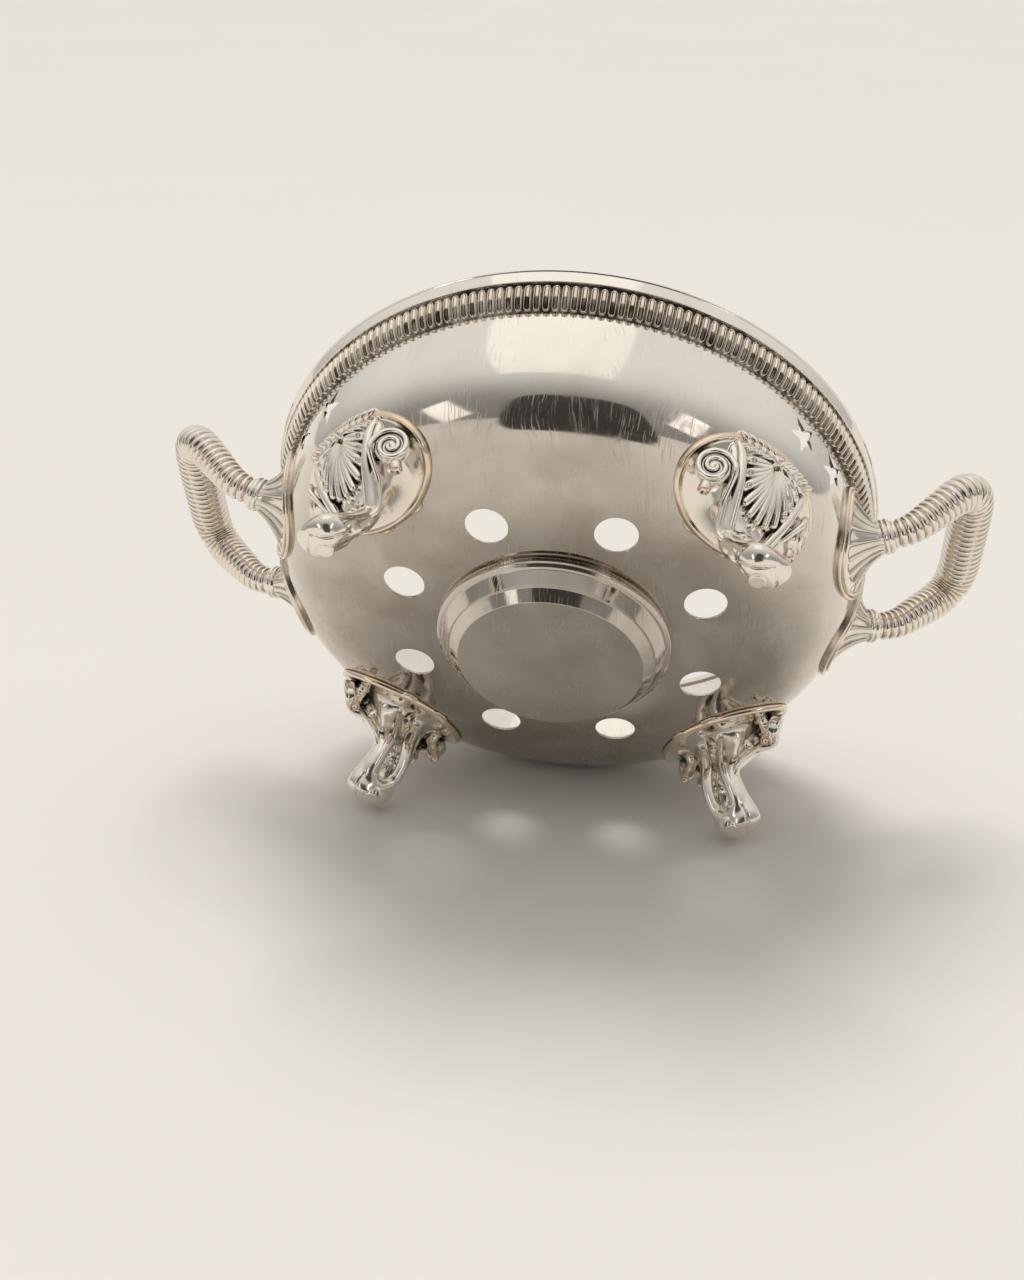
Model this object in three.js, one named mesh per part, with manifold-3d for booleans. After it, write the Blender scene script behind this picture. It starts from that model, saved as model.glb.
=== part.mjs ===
// Silver-plated dish warmer: a pierced round-bottomed bowl on four scrolled feet, with two ringed
// handles in palmette sockets and a spirit burner that stands in a well under the bowl's middle.
// Millimetres, +Z up, origin on the floor under the middle, handles along X.
import * as THREE from 'three';
import { mergeVertices } from 'three/addons/utils/BufferGeometryUtils.js';
import Module from 'manifold-3d';

const wasm = await Module();
wasm.setup();

const DEG = Math.PI / 180;
const TURN = 2 * Math.PI;
const SEAT_GAP = 0.3; // soldered or resting faces lie this far apart

// Bowl: outer skin is a super-ellipse of revolution with an upright wall above the shoulder
const BOWL_RADIUS = 118.3;
const BOWL_FLOOR_Z = 32.2;
const BOWL_SHOULDER_Z = 87.3;
const BOWL_UPRIGHT_HEIGHT = 11.3; // of the wall above the shoulder
const BOWL_TOP_Z = BOWL_SHOULDER_Z + BOWL_UPRIGHT_HEIGHT;
const BOWL_ROUNDNESS = 3.4;
const BOWL_WALL = 1.2;
const BOWL_SIDES = 40;
const BOWL_STEPS = 6;

// Draught holes round the well, and stars in the wall beside the handles
const VENT_COUNT = 8;
const VENT_RADIUS = 8.25;
const VENT_RING_RADIUS = 63.3;
const VENT_SIDES = 12;
const STAR_RADIUS = 8.3;
const STAR_WAIST_RADIUS = 3.4;
const STAR_DROP = 24.8; // of the star centres below the bowl's edge
const STAR_CENTRE_Z = BOWL_TOP_Z - STAR_DROP;
const STAR_NEAR_ANGLE = 29.9 * DEG; // from the handle axis
const STAR_FAR_ANGLE = 40.4 * DEG;
const PUNCH_REACH = 10; // of the star punch to each side of the wall

// Rim band and gadroon border
const RIM_OVERHANG = 6.7; // beyond the bowl's wall
const RIM_HEIGHT = 3.5;
const RIM_LEDGE_WIDTH = 5.8; // flat ring that carries the dish
const RIM_INNER_LIP = 2.4; // inwards from the bowl's outer skin
const REED_COUNT = 220;
const REEDS_PER_FACET = 5; // on the ring's plain inner side
const REED_BAND_HEIGHT = 12.3;
const REED_BAND_THICKNESS = 0.8;
const REED_DEPTH = 2.1;
const REED_END_SLOPE = 2.6;

// Burner well
const WELL_BASE_Z = 18.4;
const WELL_FLOOR_RADIUS = 36.4;
const WELL_CHAMFER = 4.0;
const WELL_STEP = 0.9;
const WELL_MOUTH_RADIUS = 43.6;
const WELL_BEAD = 2.9;
const WELL_WALL = 1.1;
const WELL_SIDES = 28;

// Handles, sockets and collars
const SOCKET_DROP = 24.4; // of the collar centres below the bowl's edge
const SOCKET_Z = BOWL_TOP_Z - SOCKET_DROP;
const SOCKET_HALF_SPAN = 26.6; // of the collar centres, along Y
const SOCKET_REACH = 10.4; // collar centre beyond the bowl's wall
const SOCKET_RISE = 15 * DEG; // slope of the collar's axis
const NECK_RADIUS = 6.2;
const FAN_RADIUS = 24.6;
const FAN_TOP_EDGE = 8.2;
const FAN_BEAD = 1.5;
const FAN_BEAD_HEIGHT = 2.9;
const FAN_EDGE_HEIGHT = 1.4;
const FAN_RIB_HEIGHT = 0.8;
const FAN_WAIST = 1.45; // of the neck's radius, where the fan starts to spread
const FAN_WAIST_HEIGHT = 3.2;
const FAN_SINK = 4; // below the skin, before the fan is trimmed to it
const FAN_SAMPLES = 24;
const SKIN_WALK_STEPS = 20;
const COLLAR_RADIUS = 6.9;
const COLLAR_LENGTH = 4.0;
const COLLAR_ROUND = 0.6;
const COLLAR_SIDES = 12;
const HANDLE_REACH = 43.2; // centre of the grip beyond the bowl's wall
const HANDLE_RISE = 28.8; // of the grip's centre above the collars
const HANDLE_TOP_Z = SOCKET_Z + HANDLE_RISE;
const HANDLE_CORNER_HALF_SPAN = 32.5;
const HANDLE_CORNER_ROUND = 17;
const HANDLE_LEAD = 8; // straight run out of the collar
const HANDLE_END_RADIUS = 5.4;
const HANDLE_GRIP_RADIUS = 8.3;
const HANDLE_SWELL = 0.85; // exponent of the swelling between end and grip
const HANDLE_RING_COUNT = 50;
const HANDLE_RING_DEPTH = 0.9;
const HANDLE_SIDES = 6;

// Feet
const FOOT_ANGLE = 45 * DEG;
const FOOT_PAD_INSET = 11.1; // pad centre inside the bowl's wall radius
const FOOT_PAD_RADIUS = 3.4;
const FOOT_PAD_HEIGHT = 0.9;
const SHIELD_HALF_WIDTH = 31;
const SHIELD_NEAR_INSET = 39.3; // lower edge inside the bowl's wall radius
const SHIELD_FAR_INSET = 3.6; // upper edge
const SHIELD_THICKNESS = 1.6;
const SHIELD_SIDES = 16;
const LEG_SIDES = 8;
const LEG_HALF_WIDTH = 9.6; // at the ankle
const TOE_REACH = 11.2; // toe's tip beyond the pad's centre
const VOLUTE_RADIUS = 7.4;
const VOLUTE_LENGTH = 6.4;
const VOLUTE_SPREAD = 20.2;
const VOLUTE_TURNS = 1.4;
const VOLUTE_STRETCH = 1.12; // taller than wide
const VOLUTE_STATIONS = 9;
const VOLUTE_EYE_RADIUS = 2.2;
const BAND_THICKNESS = 2.0;
const LOBE_COUNT = 9;
const LOBE_SPREAD = 150 * DEG;
const LOBE_LENGTH = 18.5;
const LOBE_START = 2.6; // from the node
const LOBE_RELIEF = 1.9;
const LOBE_ROOT = 3.2; // depth of the palmette behind its valleys

// Spirit burner
const BURNER_CLEARANCE = 2.4; // round the reservoir, inside the well's floor
const RESERVOIR_HEIGHT = 17;
const RESERVOIR_WALL = 1.0;
const RESERVOIR_EDGE = 2.2; // rounding of its top and bottom edges
const RESERVOIR_NECK_RADIUS = 12.5;
const RESERVOIR_NECK_HEIGHT = 3.2;
const RESERVOIR_MOUTH_RADIUS = 8;
const BURNER_SIDES = 20;
const HOLDER_SIDES = 14;
const SMALL_SIDES = 8;
const HOLDER_PLATE_THICKNESS = 1.6;
const HOLDER_TAIL = 6; // of the wick tube below the plate
const WICK_RADIUS = 4.2;
const WICK_TUBE_WALL = 1.1;
const WICK_TUBE_HEIGHT = 13;
const WICK_PROUD = 2.4;
const WICK_FIT = 0.3;
const CAP_OVERLAP = 4.4; // of the snuffer cap over the wick tube
const CAP_CLEARANCE = 1.3; // round the wick tube
const CAP_WALL = 0.9;
const CAP_HEAD_ROOM = 1.4;
const CAP_SHOULDER = 1.6;
const HINGE_OFFSET = 3.4; // pin axis outside the cap
const HINGE_PIN_RADIUS = 0.9;
const HINGE_PIN_FIT = 0.25;
const HINGE_EYE_RADIUS = 2.1;
const HINGE_STRAP_WIDTH = 3.6;
const HINGE_CHEEK_THICKNESS = 1.4;
const HINGE_SIDE_GAP = 0.3;
const KNOB_RADIUS = 2.7;
const KNOB_HEIGHT = 4.8;
const BAIL_RADIUS = 1.1;
const BAIL_HALF_WIDTH = 8;
const BAIL_HEIGHT = 8;
const BAIL_TAIL = 5; // run along the shoulder at each end
const BAIL_STEPS = 15;
const BAIL_SIDES = 5;

const FINISHES = {
  plate: { color: 0xd8d0c2, roughness: 0.16, metalness: 1 },
  casting: { color: 0xcfc3ae, roughness: 0.26, metalness: 1 },
  inside: { color: 0xc9c2b4, roughness: 0.32, metalness: 1 },
  brass: { color: 0xb8935a, roughness: 0.3, metalness: 1 },
  cotton: { color: 0xd9cfb8, roughness: 0.95, metalness: 0 },
};

const model = new THREE.Group();

// Geometry helpers

function solidOf(geometry) {
  const bare = geometry.clone();
  bare.deleteAttribute('normal');
  bare.deleteAttribute('uv');
  const merged = mergeVertices(bare, 1e-4);
  return new wasm.Manifold(new wasm.Mesh({
    numProp: 3,
    vertProperties: new Float32Array(merged.attributes.position.array),
    triVerts: new Uint32Array(merged.index.array),
  }));
}

function geometryOf(solid) {
  const mesh = solid.getMesh();
  const geometry = new THREE.BufferGeometry();
  geometry.setAttribute('position', new THREE.BufferAttribute(mesh.vertProperties, 3));
  geometry.setIndex(new THREE.BufferAttribute(mesh.triVerts, 1));
  geometry.computeVertexNormals();
  return geometry;
}

// Turns a profile of [radius, height] points about Z; the profile closes on itself or on the axis
function revolve(profile, sides, closed = true) {
  const points = profile.map(([r, z]) => new THREE.Vector2(r, z));
  if (closed) points.push(points[0].clone());
  return new THREE.LatheGeometry(points, sides).rotateX(Math.PI / 2);
}

// Skins a row of rings that all have the same number of points, and closes both ends
function loft(rings) {
  const count = rings[0].length;
  const positions = rings.flat().flatMap((p) => [p.x, p.y, p.z]);
  const index = [];
  for (let i = 0; i < rings.length - 1; i += 1) {
    for (let j = 0; j < count; j += 1) {
      const a = i * count + j;
      const b = i * count + ((j + 1) % count);
      index.push(a, b, a + count, b, b + count, a + count);
    }
  }
  [rings[0], rings.at(-1)].forEach((ring, end) => {
    const centre = ring.reduce((sum, p) => sum.add(p), new THREE.Vector3()).divideScalar(count);
    const hub = positions.length / 3;
    positions.push(centre.x, centre.y, centre.z);
    const first = end === 0 ? 0 : (rings.length - 1) * count;
    for (let j = 0; j < count; j += 1) {
      const a = first + j;
      const b = first + ((j + 1) % count);
      if (end === 0) index.push(hub, b, a);
      else index.push(hub, a, b);
    }
  });
  const geometry = new THREE.BufferGeometry();
  geometry.setAttribute('position', new THREE.Float32BufferAttribute(positions, 3));
  geometry.setIndex(index);
  geometry.computeVertexNormals();
  return facingOut(geometry);
}

// Turns every face over when the surface encloses a negative volume
function facingOut(geometry) {
  const p = geometry.attributes.position;
  const index = geometry.index.array;
  const corner = [0, 1, 2].map(() => new THREE.Vector3());
  let volume = 0;
  for (let i = 0; i < index.length; i += 3) {
    corner.forEach((v, k) => v.fromBufferAttribute(p, index[i + k]));
    volume += corner[0].dot(corner[1].clone().cross(corner[2]));
  }
  if (volume < 0) {
    for (let i = 0; i < index.length; i += 3) {
      [index[i + 1], index[i + 2]] = [index[i + 2], index[i + 1]];
    }
  }
  return geometry;
}

// A ring of points round a centre, spread along two directions
function ringAt(centre, across, along, radiusA, radiusB, sides) {
  return Array.from({ length: sides }, (_, k) => {
    const angle = (TURN * k) / sides;
    return centre.clone()
      .addScaledVector(across, radiusA * Math.cos(angle))
      .addScaledVector(along, radiusB * Math.sin(angle));
  });
}

function addPiece(name, geometry, finish, angle = 0) {
  const mesh = new THREE.Mesh(geometry, new THREE.MeshStandardMaterial(FINISHES[finish]));
  mesh.name = name;
  mesh.rotation.z = angle;
  model.add(mesh);
  return mesh;
}

// Bowl

// Height of the bowl's skin at a radius; offset grows the skin outwards
function skinHeight(radius, offset = 0) {
  const reach = Math.min(radius / (BOWL_RADIUS + offset), 1);
  const depth = BOWL_SHOULDER_Z - BOWL_FLOOR_Z + offset;
  return BOWL_SHOULDER_Z - depth * (1 - reach ** BOWL_ROUNDNESS) ** (1 / BOWL_ROUNDNESS);
}

// Points of the skin from a start radius to the shoulder, evenly spaced in the curve's own angle
function skinCurve(startRadius, offset = 0, steps = BOWL_STEPS) {
  const reach = BOWL_RADIUS + offset;
  const start = Math.asin((startRadius / reach) ** (BOWL_ROUNDNESS / 2));
  return Array.from({ length: steps + 1 }, (_, k) => {
    const angle = start + ((Math.PI / 2 - start) * k) / steps;
    const radius = reach * Math.sin(angle) ** (2 / BOWL_ROUNDNESS);
    return [radius, skinHeight(radius, offset)];
  });
}

// The space inside the grown skin as a solid, turned so that its facets match the bowl's in a frame
// that stands at the given angle
function skinSolid(offset, angle = 0) {
  const curve = skinCurve(WELL_MOUTH_RADIUS, offset);
  const profile = [
    [0, skinHeight(0, offset)], ...curve, [BOWL_RADIUS + offset, BOWL_TOP_Z], [0, BOWL_TOP_Z],
  ];
  return solidOf(revolve(profile, BOWL_SIDES, false).rotateZ(-angle));
}

function starShape() {
  const shape = new THREE.Shape();
  for (let k = 0; k < 10; k += 1) {
    const angle = -Math.PI / 2 + (TURN * k) / 10;
    const radius = k % 2 ? STAR_WAIST_RADIUS : STAR_RADIUS;
    shape.lineTo(radius * Math.cos(angle), radius * Math.sin(angle));
  }
  shape.closePath();
  return shape;
}

function makeBowl() {
  const outer = skinCurve(WELL_MOUTH_RADIUS, 0);
  const inner = skinCurve(WELL_MOUTH_RADIUS, -BOWL_WALL);
  const profile = [
    ...outer, [BOWL_RADIUS, BOWL_TOP_Z], [BOWL_RADIUS - BOWL_WALL, BOWL_TOP_Z], ...inner.reverse(),
  ];
  let bowl = solidOf(revolve(profile, BOWL_SIDES));
  for (let k = 0; k < VENT_COUNT; k += 1) {
    const angle = (TURN * (k + 0.5)) / VENT_COUNT;
    const drill = new THREE.CylinderGeometry(VENT_RADIUS, VENT_RADIUS, 4 * VENT_RADIUS, VENT_SIDES)
      .rotateX(Math.PI / 2)
      .translate(VENT_RING_RADIUS, 0, skinHeight(VENT_RING_RADIUS))
      .rotateZ(angle);
    bowl = bowl.subtract(solidOf(drill));
  }
  for (const near of [STAR_NEAR_ANGLE, STAR_FAR_ANGLE]) {
    for (const angle of [near, -near, Math.PI - near, Math.PI + near]) {
      const punch = new THREE.ExtrudeGeometry(starShape(), { depth: 2 * PUNCH_REACH, bevelEnabled: false })
        .rotateX(Math.PI / 2)
        .rotateZ(Math.PI / 2)
        .translate(BOWL_RADIUS - PUNCH_REACH, 0, STAR_CENTRE_Z)
        .rotateZ(angle);
      bowl = bowl.subtract(solidOf(punch));
    }
  }
  addPiece('bowl', geometryOf(bowl), 'plate');
}

// Rim band: a smooth overhanging moulding with a flat ring on top that carries the dish
function makeRimBand() {
  const outer = BOWL_RADIUS + RIM_OVERHANG;
  const low = BOWL_TOP_Z + SEAT_GAP;
  const top = low + RIM_HEIGHT;
  const nose = RIM_HEIGHT / 2;
  const profile = [
    [BOWL_RADIUS - RIM_INNER_LIP, low],
    [outer - 1.8 * nose, low],
    [outer - 0.4 * nose, low + 0.5 * nose],
    [outer, low + 1.2 * nose],
    [outer - 0.8 * nose, top],
    [outer - 0.8 * nose - RIM_LEDGE_WIDTH, top],
    [BOWL_RADIUS - RIM_INNER_LIP, top - 0.7 * nose],
  ];
  addPiece('rim_band', revolve(profile, BOWL_SIDES), 'plate');
}

// Gadroon border: each reed is a ridge with sloped ends between two hollows on a thin ring
function makeGadroonBorder() {
  const inner = BOWL_RADIUS + SEAT_GAP;
  const hollow = inner + REED_BAND_THICKNESS;
  const crest = hollow + REED_DEPTH;
  const top = BOWL_TOP_Z;
  const low = top - REED_BAND_HEIGHT;
  const positions = [];
  const put = (radius, z, angle) => {
    positions.push(radius * Math.cos(angle), radius * Math.sin(angle), z);
  };
  for (let k = 0; k < REED_COUNT; k += 1) {
    const angle = (TURN * k) / REED_COUNT;
    const middle = (TURN * (k + 0.5)) / REED_COUNT;
    put(hollow, low, angle);
    put(hollow, top, angle);
    put(crest, low + REED_END_SLOPE, middle);
    put(crest, top - REED_END_SLOPE, middle);
  }
  const facetCount = REED_COUNT / REEDS_PER_FACET;
  const innerStart = positions.length / 3;
  for (let k = 0; k < facetCount; k += 1) {
    put(inner, low, (TURN * k) / facetCount);
    put(inner, top, (TURN * k) / facetCount);
  }
  const index = [];
  const quad = (a, b, c, d) => index.push(a, b, c, a, c, d);
  for (let k = 0; k < REED_COUNT; k += 1) {
    const a = 4 * k;
    const b = 4 * ((k + 1) % REED_COUNT);
    quad(a, a + 2, a + 3, a + 1);
    quad(b, b + 1, a + 3, a + 2);
    index.push(a, b, a + 2, a + 1, a + 3, b + 1);
    const near = innerStart + 2 * (Math.round(k / REEDS_PER_FACET) % facetCount);
    index.push(near, b, a, near + 1, a + 1, b + 1);
    if (k % REEDS_PER_FACET === Math.ceil(REEDS_PER_FACET / 2)) {
      const last = innerStart + 2 * Math.floor(k / REEDS_PER_FACET);
      index.push(last, near, a, last + 1, a + 1, near + 1);
      quad(last, last + 1, near + 1, near);
    }
  }
  const geometry = new THREE.BufferGeometry();
  geometry.setAttribute('position', new THREE.Float32BufferAttribute(positions, 3));
  geometry.setIndex(index);
  geometry.computeVertexNormals();
  addPiece('gadroon_border', facingOut(geometry), 'casting');
}

// Burner well: chamfered floor, a fine step, a sloping wall and a bead under the bowl
function makeBurnerWell() {
  const stepRadius = WELL_FLOOR_RADIUS + WELL_CHAMFER;
  const stepZ = WELL_BASE_Z + WELL_CHAMFER;
  const top = skinHeight(WELL_MOUTH_RADIUS) - SEAT_GAP;
  const bead = WELL_MOUTH_RADIUS + WELL_BEAD;
  const beadLow = top - 1.5 * WELL_BEAD;
  const profile = [
    [0, WELL_BASE_Z],
    [WELL_FLOOR_RADIUS, WELL_BASE_Z],
    [stepRadius, stepZ],
    [stepRadius + WELL_STEP, stepZ + WELL_STEP],
    [bead - WELL_BEAD / 2, beadLow],
    [bead, (beadLow + top) / 2],
    [bead - WELL_BEAD / 5, top],
    [WELL_MOUTH_RADIUS, top],
    [WELL_MOUTH_RADIUS - WELL_WALL / 2, beadLow],
    [stepRadius + WELL_STEP - WELL_WALL, stepZ + WELL_STEP],
    [WELL_FLOOR_RADIUS - WELL_WALL / 2, WELL_BASE_Z + WELL_WALL],
    [0, WELL_BASE_Z + WELL_WALL],
  ];
  addPiece('burner_well', revolve(profile, WELL_SIDES, false), 'plate');
}

// Sockets, collars and handles

const SOCKET_ANGLE = Math.asin(SOCKET_HALF_SPAN / (BOWL_RADIUS + SOCKET_REACH));

// Radius of the bowl's skin at a height
function skinRadius(z) {
  const depth = (BOWL_SHOULDER_Z - z) / (BOWL_SHOULDER_Z - BOWL_FLOOR_Z);
  return BOWL_RADIUS * (1 - Math.max(depth, 0) ** BOWL_ROUNDNESS) ** (1 / BOWL_ROUNDNESS);
}

// A place off the bowl's skin: side and rise are lengths along the skin from the socket's height
function skinPlace(side, rise, offset) {
  const slopeAt = (z) => skinRadius(z + 0.5) - skinRadius(z - 0.5);
  let z = SOCKET_Z;
  for (let k = 0; k < SKIN_WALK_STEPS; k += 1) {
    z += rise / SKIN_WALK_STEPS / Math.hypot(1, slopeAt(z));
  }
  const slope = slopeAt(z);
  const level = 1 / Math.hypot(1, slope);
  const radius = skinRadius(z) + offset * level;
  const angle = side / BOWL_RADIUS;
  return new THREE.Vector3(radius * Math.cos(angle), radius * Math.sin(angle), z - offset * slope * level);
}

// Socket in its own frame, with the collar's centre over +X
function socketSolid(angle) {
  const axis = new THREE.Vector3(Math.cos(SOCKET_RISE), 0, Math.sin(SOCKET_RISE));
  const up = new THREE.Vector3(-Math.sin(SOCKET_RISE), 0, Math.cos(SOCKET_RISE));
  const side = new THREE.Vector3(0, 1, 0);
  const collar = new THREE.Vector3(BOWL_RADIUS + SOCKET_REACH, 0, SOCKET_Z);
  const neckEnd = collar.clone().addScaledVector(axis, -COLLAR_LENGTH / 2 - SEAT_GAP);
  const neck = ringAt(neckEnd, side, up, NECK_RADIUS, NECK_RADIUS, FAN_SAMPLES);
  const reach = (k) => {
    const sine = Math.sin((TURN * k) / FAN_SAMPLES);
    return sine > 0 ? Math.min(FAN_RADIUS, FAN_TOP_EDGE / sine) : FAN_RADIUS;
  };
  const fan = (inset, offset) => neck.map((_, k) => {
    const angleK = (TURN * k) / FAN_SAMPLES;
    const radius = reach(k) - inset;
    return skinPlace(radius * Math.cos(angleK), radius * Math.sin(angleK), offset);
  });
  const foot = fan(2 * FAN_BEAD, FAN_EDGE_HEIGHT);
  const waist = neck.map((_, k) => {
    const angleK = (TURN * k) / FAN_SAMPLES;
    const radius = Math.min(FAN_WAIST * NECK_RADIUS, reach(k) - FAN_BEAD);
    return skinPlace(radius * Math.cos(angleK), radius * Math.sin(angleK), FAN_WAIST_HEIGHT);
  });
  const between = (t) => neck.map((p, k) => {
    const rib = k % 2 === 0 ? FAN_RIB_HEIGHT * Math.sin(Math.PI * t) : 0;
    return p.clone().multiplyScalar((1 - t) ** 2)
      .addScaledVector(waist[k], 2 * t * (1 - t))
      .addScaledVector(foot[k], t * t)
      .addScaledVector(axis, rib);
  });
  const shape = loft([
    neck, between(0.5), foot, fan(FAN_BEAD, FAN_BEAD_HEIGHT), fan(0, FAN_EDGE_HEIGHT), fan(FAN_BEAD, -FAN_SINK),
  ]);
  return solidOf(shape).subtract(skinSolid(SEAT_GAP, angle));
}

function collarGeometry() {
  const half = COLLAR_LENGTH / 2;
  const edge = COLLAR_RADIUS - COLLAR_ROUND;
  const profile = [
    [0, -half], [edge, -half], [COLLAR_RADIUS, 0], [edge, half], [0, half],
  ];
  return revolve(profile, COLLAR_SIDES, false)
    .rotateY(Math.PI / 2 - SOCKET_RISE)
    .translate(BOWL_RADIUS + SOCKET_REACH, 0, SOCKET_Z);
}

// Straight runs joined by rounded corners, as one list of evenly spaced points
function roundedRoute(corners, rounds, count) {
  const route = new THREE.CurvePath();
  let from = corners[0];
  for (let k = 1; k < corners.length - 1; k += 1) {
    const into = corners[k].clone().sub(corners[k - 1]).setLength(rounds[k - 1]);
    const out = corners[k + 1].clone().sub(corners[k]).setLength(rounds[k - 1]);
    const start = corners[k].clone().sub(into);
    const end = corners[k].clone().add(out);
    route.add(new THREE.LineCurve3(from, start));
    route.add(new THREE.QuadraticBezierCurve3(start, corners[k].clone(), end));
    from = end;
  }
  route.add(new THREE.LineCurve3(from, corners.at(-1)));
  return route.getSpacedPoints(count);
}

// The handle's centreline, from the front collar to the back one
function handleRoute(count) {
  const out = new THREE.Vector3(
    Math.cos(SOCKET_RISE) * Math.cos(SOCKET_ANGLE),
    -Math.cos(SOCKET_RISE) * Math.sin(SOCKET_ANGLE),
    Math.sin(SOCKET_RISE),
  );
  const collar = new THREE.Vector3(
    (BOWL_RADIUS + SOCKET_REACH) * Math.cos(SOCKET_ANGLE), -SOCKET_HALF_SPAN, SOCKET_Z,
  );
  const start = collar.clone().addScaledVector(out, COLLAR_LENGTH / 2 + SEAT_GAP);
  const lead = start.clone().addScaledVector(out, HANDLE_LEAD);
  const corner = new THREE.Vector3(
    BOWL_RADIUS + HANDLE_REACH, -HANDLE_CORNER_HALF_SPAN, HANDLE_TOP_Z,
  );
  const near = [start, lead, corner];
  const far = near.map((p) => new THREE.Vector3(p.x, -p.y, p.z)).reverse();
  const rounds = [HANDLE_LEAD * 0.8, HANDLE_CORNER_ROUND, HANDLE_CORNER_ROUND, HANDLE_LEAD * 0.8];
  return roundedRoute([...near, ...far], rounds, count);
}

// Ringed handle: crests and hollows follow each other along the route, thicker towards the grip
function handleGeometry() {
  const count = 2 * HANDLE_RING_COUNT;
  const points = handleRoute(count);
  const rings = points.map((p, k) => {
    const before = points[Math.max(k - 1, 0)];
    const after = points[Math.min(k + 1, count)];
    const tangent = after.clone().sub(before).normalize();
    const first = tangent.clone().cross(new THREE.Vector3(1, 0, -1)).normalize();
    const second = tangent.clone().cross(first);
    const swell = Math.sin((Math.PI * k) / count) ** HANDLE_SWELL;
    const crest = HANDLE_END_RADIUS + (HANDLE_GRIP_RADIUS - HANDLE_END_RADIUS) * swell;
    const radius = k % 2 ? crest : crest - HANDLE_RING_DEPTH;
    return ringAt(p, first, second, radius, radius, HANDLE_SIDES);
  });
  return loft(rings);
}

function makeHandles() {
  const sides = [['right', 0], ['left', Math.PI]];
  for (const [side, turn] of sides) {
    addPiece(`handle_${side}`, handleGeometry(), 'casting', turn);
    for (const [end, sign] of [['front', -1], ['back', 1]]) {
      const angle = turn === 0 ? sign * SOCKET_ANGLE : Math.PI - sign * SOCKET_ANGLE;
      addPiece(`socket_${side}_${end}`, geometryOf(socketSolid(angle)), 'casting', angle);
      addPiece(`collar_${side}_${end}`, collarGeometry(), 'casting', angle);
    }
  }
}

// Feet, each in a frame whose +X points straight out from the bowl's axis

const PAD_CENTRE_RADIUS = BOWL_RADIUS - FOOT_PAD_INSET;
const FOOT_TOP_Z = skinHeight(PAD_CENTRE_RADIUS);

// A place on a foot: out from the pad's centre in toe reaches, to the side, and up as a share of the
// foot's height
function footPlace(out, side, share) {
  return new THREE.Vector3(PAD_CENTRE_RADIUS + out * TOE_REACH, side, FOOT_TOP_Z * share);
}

// Oval plate that lies on the bowl
function shieldSolid(angle) {
  const near = BOWL_RADIUS - SHIELD_NEAR_INSET;
  const far = BOWL_RADIUS - SHIELD_FAR_INSET;
  const low = new THREE.Vector3(near, 0, skinHeight(near));
  const high = new THREE.Vector3(far, 0, skinHeight(far));
  const centre = low.clone().lerp(high, 0.5);
  const along = high.clone().sub(low).normalize();
  const side = new THREE.Vector3(0, 1, 0);
  const out = side.clone().cross(along).normalize();
  const halfLength = low.distanceTo(high) / 2;
  const rings = [-halfLength, halfLength].map((shift) => ringAt(
    centre.clone().addScaledVector(out, shift), side, along, SHIELD_HALF_WIDTH, halfLength, SHIELD_SIDES,
  ));
  return solidOf(loft(rings)).intersect(skinSolid(SEAT_GAP + SHIELD_THICKNESS, angle));
}

// Leg and toe: flattened rings from inside the bowl's skin down to the toe
function legSolid() {
  // height, inner face and outer face as footPlace takes them, then the width over the ankle's
  const stations = [
    [1.04, -1.96, 0.18, 1.46],
    [0.8, -1.66, 0.09, 1.35],
    [0.5, -1.21, -0.46, 1],
    [0.35, -1.07, -0.09, 0.98],
    [0.24, -0.93, 0.63, 1.06],
    [0.13, -0.75, 1, 1.04],
    [0.02, -0.39, 0.5, 0.63],
  ];
  const rings = stations.map(([share, inner, outer, width]) => ringAt(
    footPlace((inner + outer) / 2, 0, share),
    new THREE.Vector3(1, 0, 0),
    new THREE.Vector3(0, 1, 0),
    (TOE_REACH * (outer - inner)) / 2,
    LEG_HALF_WIDTH * width,
    LEG_SIDES,
  ));
  return solidOf(loft(rings));
}

// Keyhole and slot sunk into the leg's inner face: place, then depth, width and height over the ankle's
// half width
function legHollows() {
  const hollows = [
    [footPlace(-1.5, 0, 0.66), [0.37, 0.33, 0.48]],
    [footPlace(-1.09, 0, 0.34), [0.46, 0.46, 0.79]],
  ];
  return hollows.map(([place, size]) => solidOf(
    new THREE.SphereGeometry(LEG_HALF_WIDTH, 6, 3).rotateX(Math.PI / 2).scale(...size)
      .translate(place.x, place.y, place.z),
  ));
}

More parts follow.
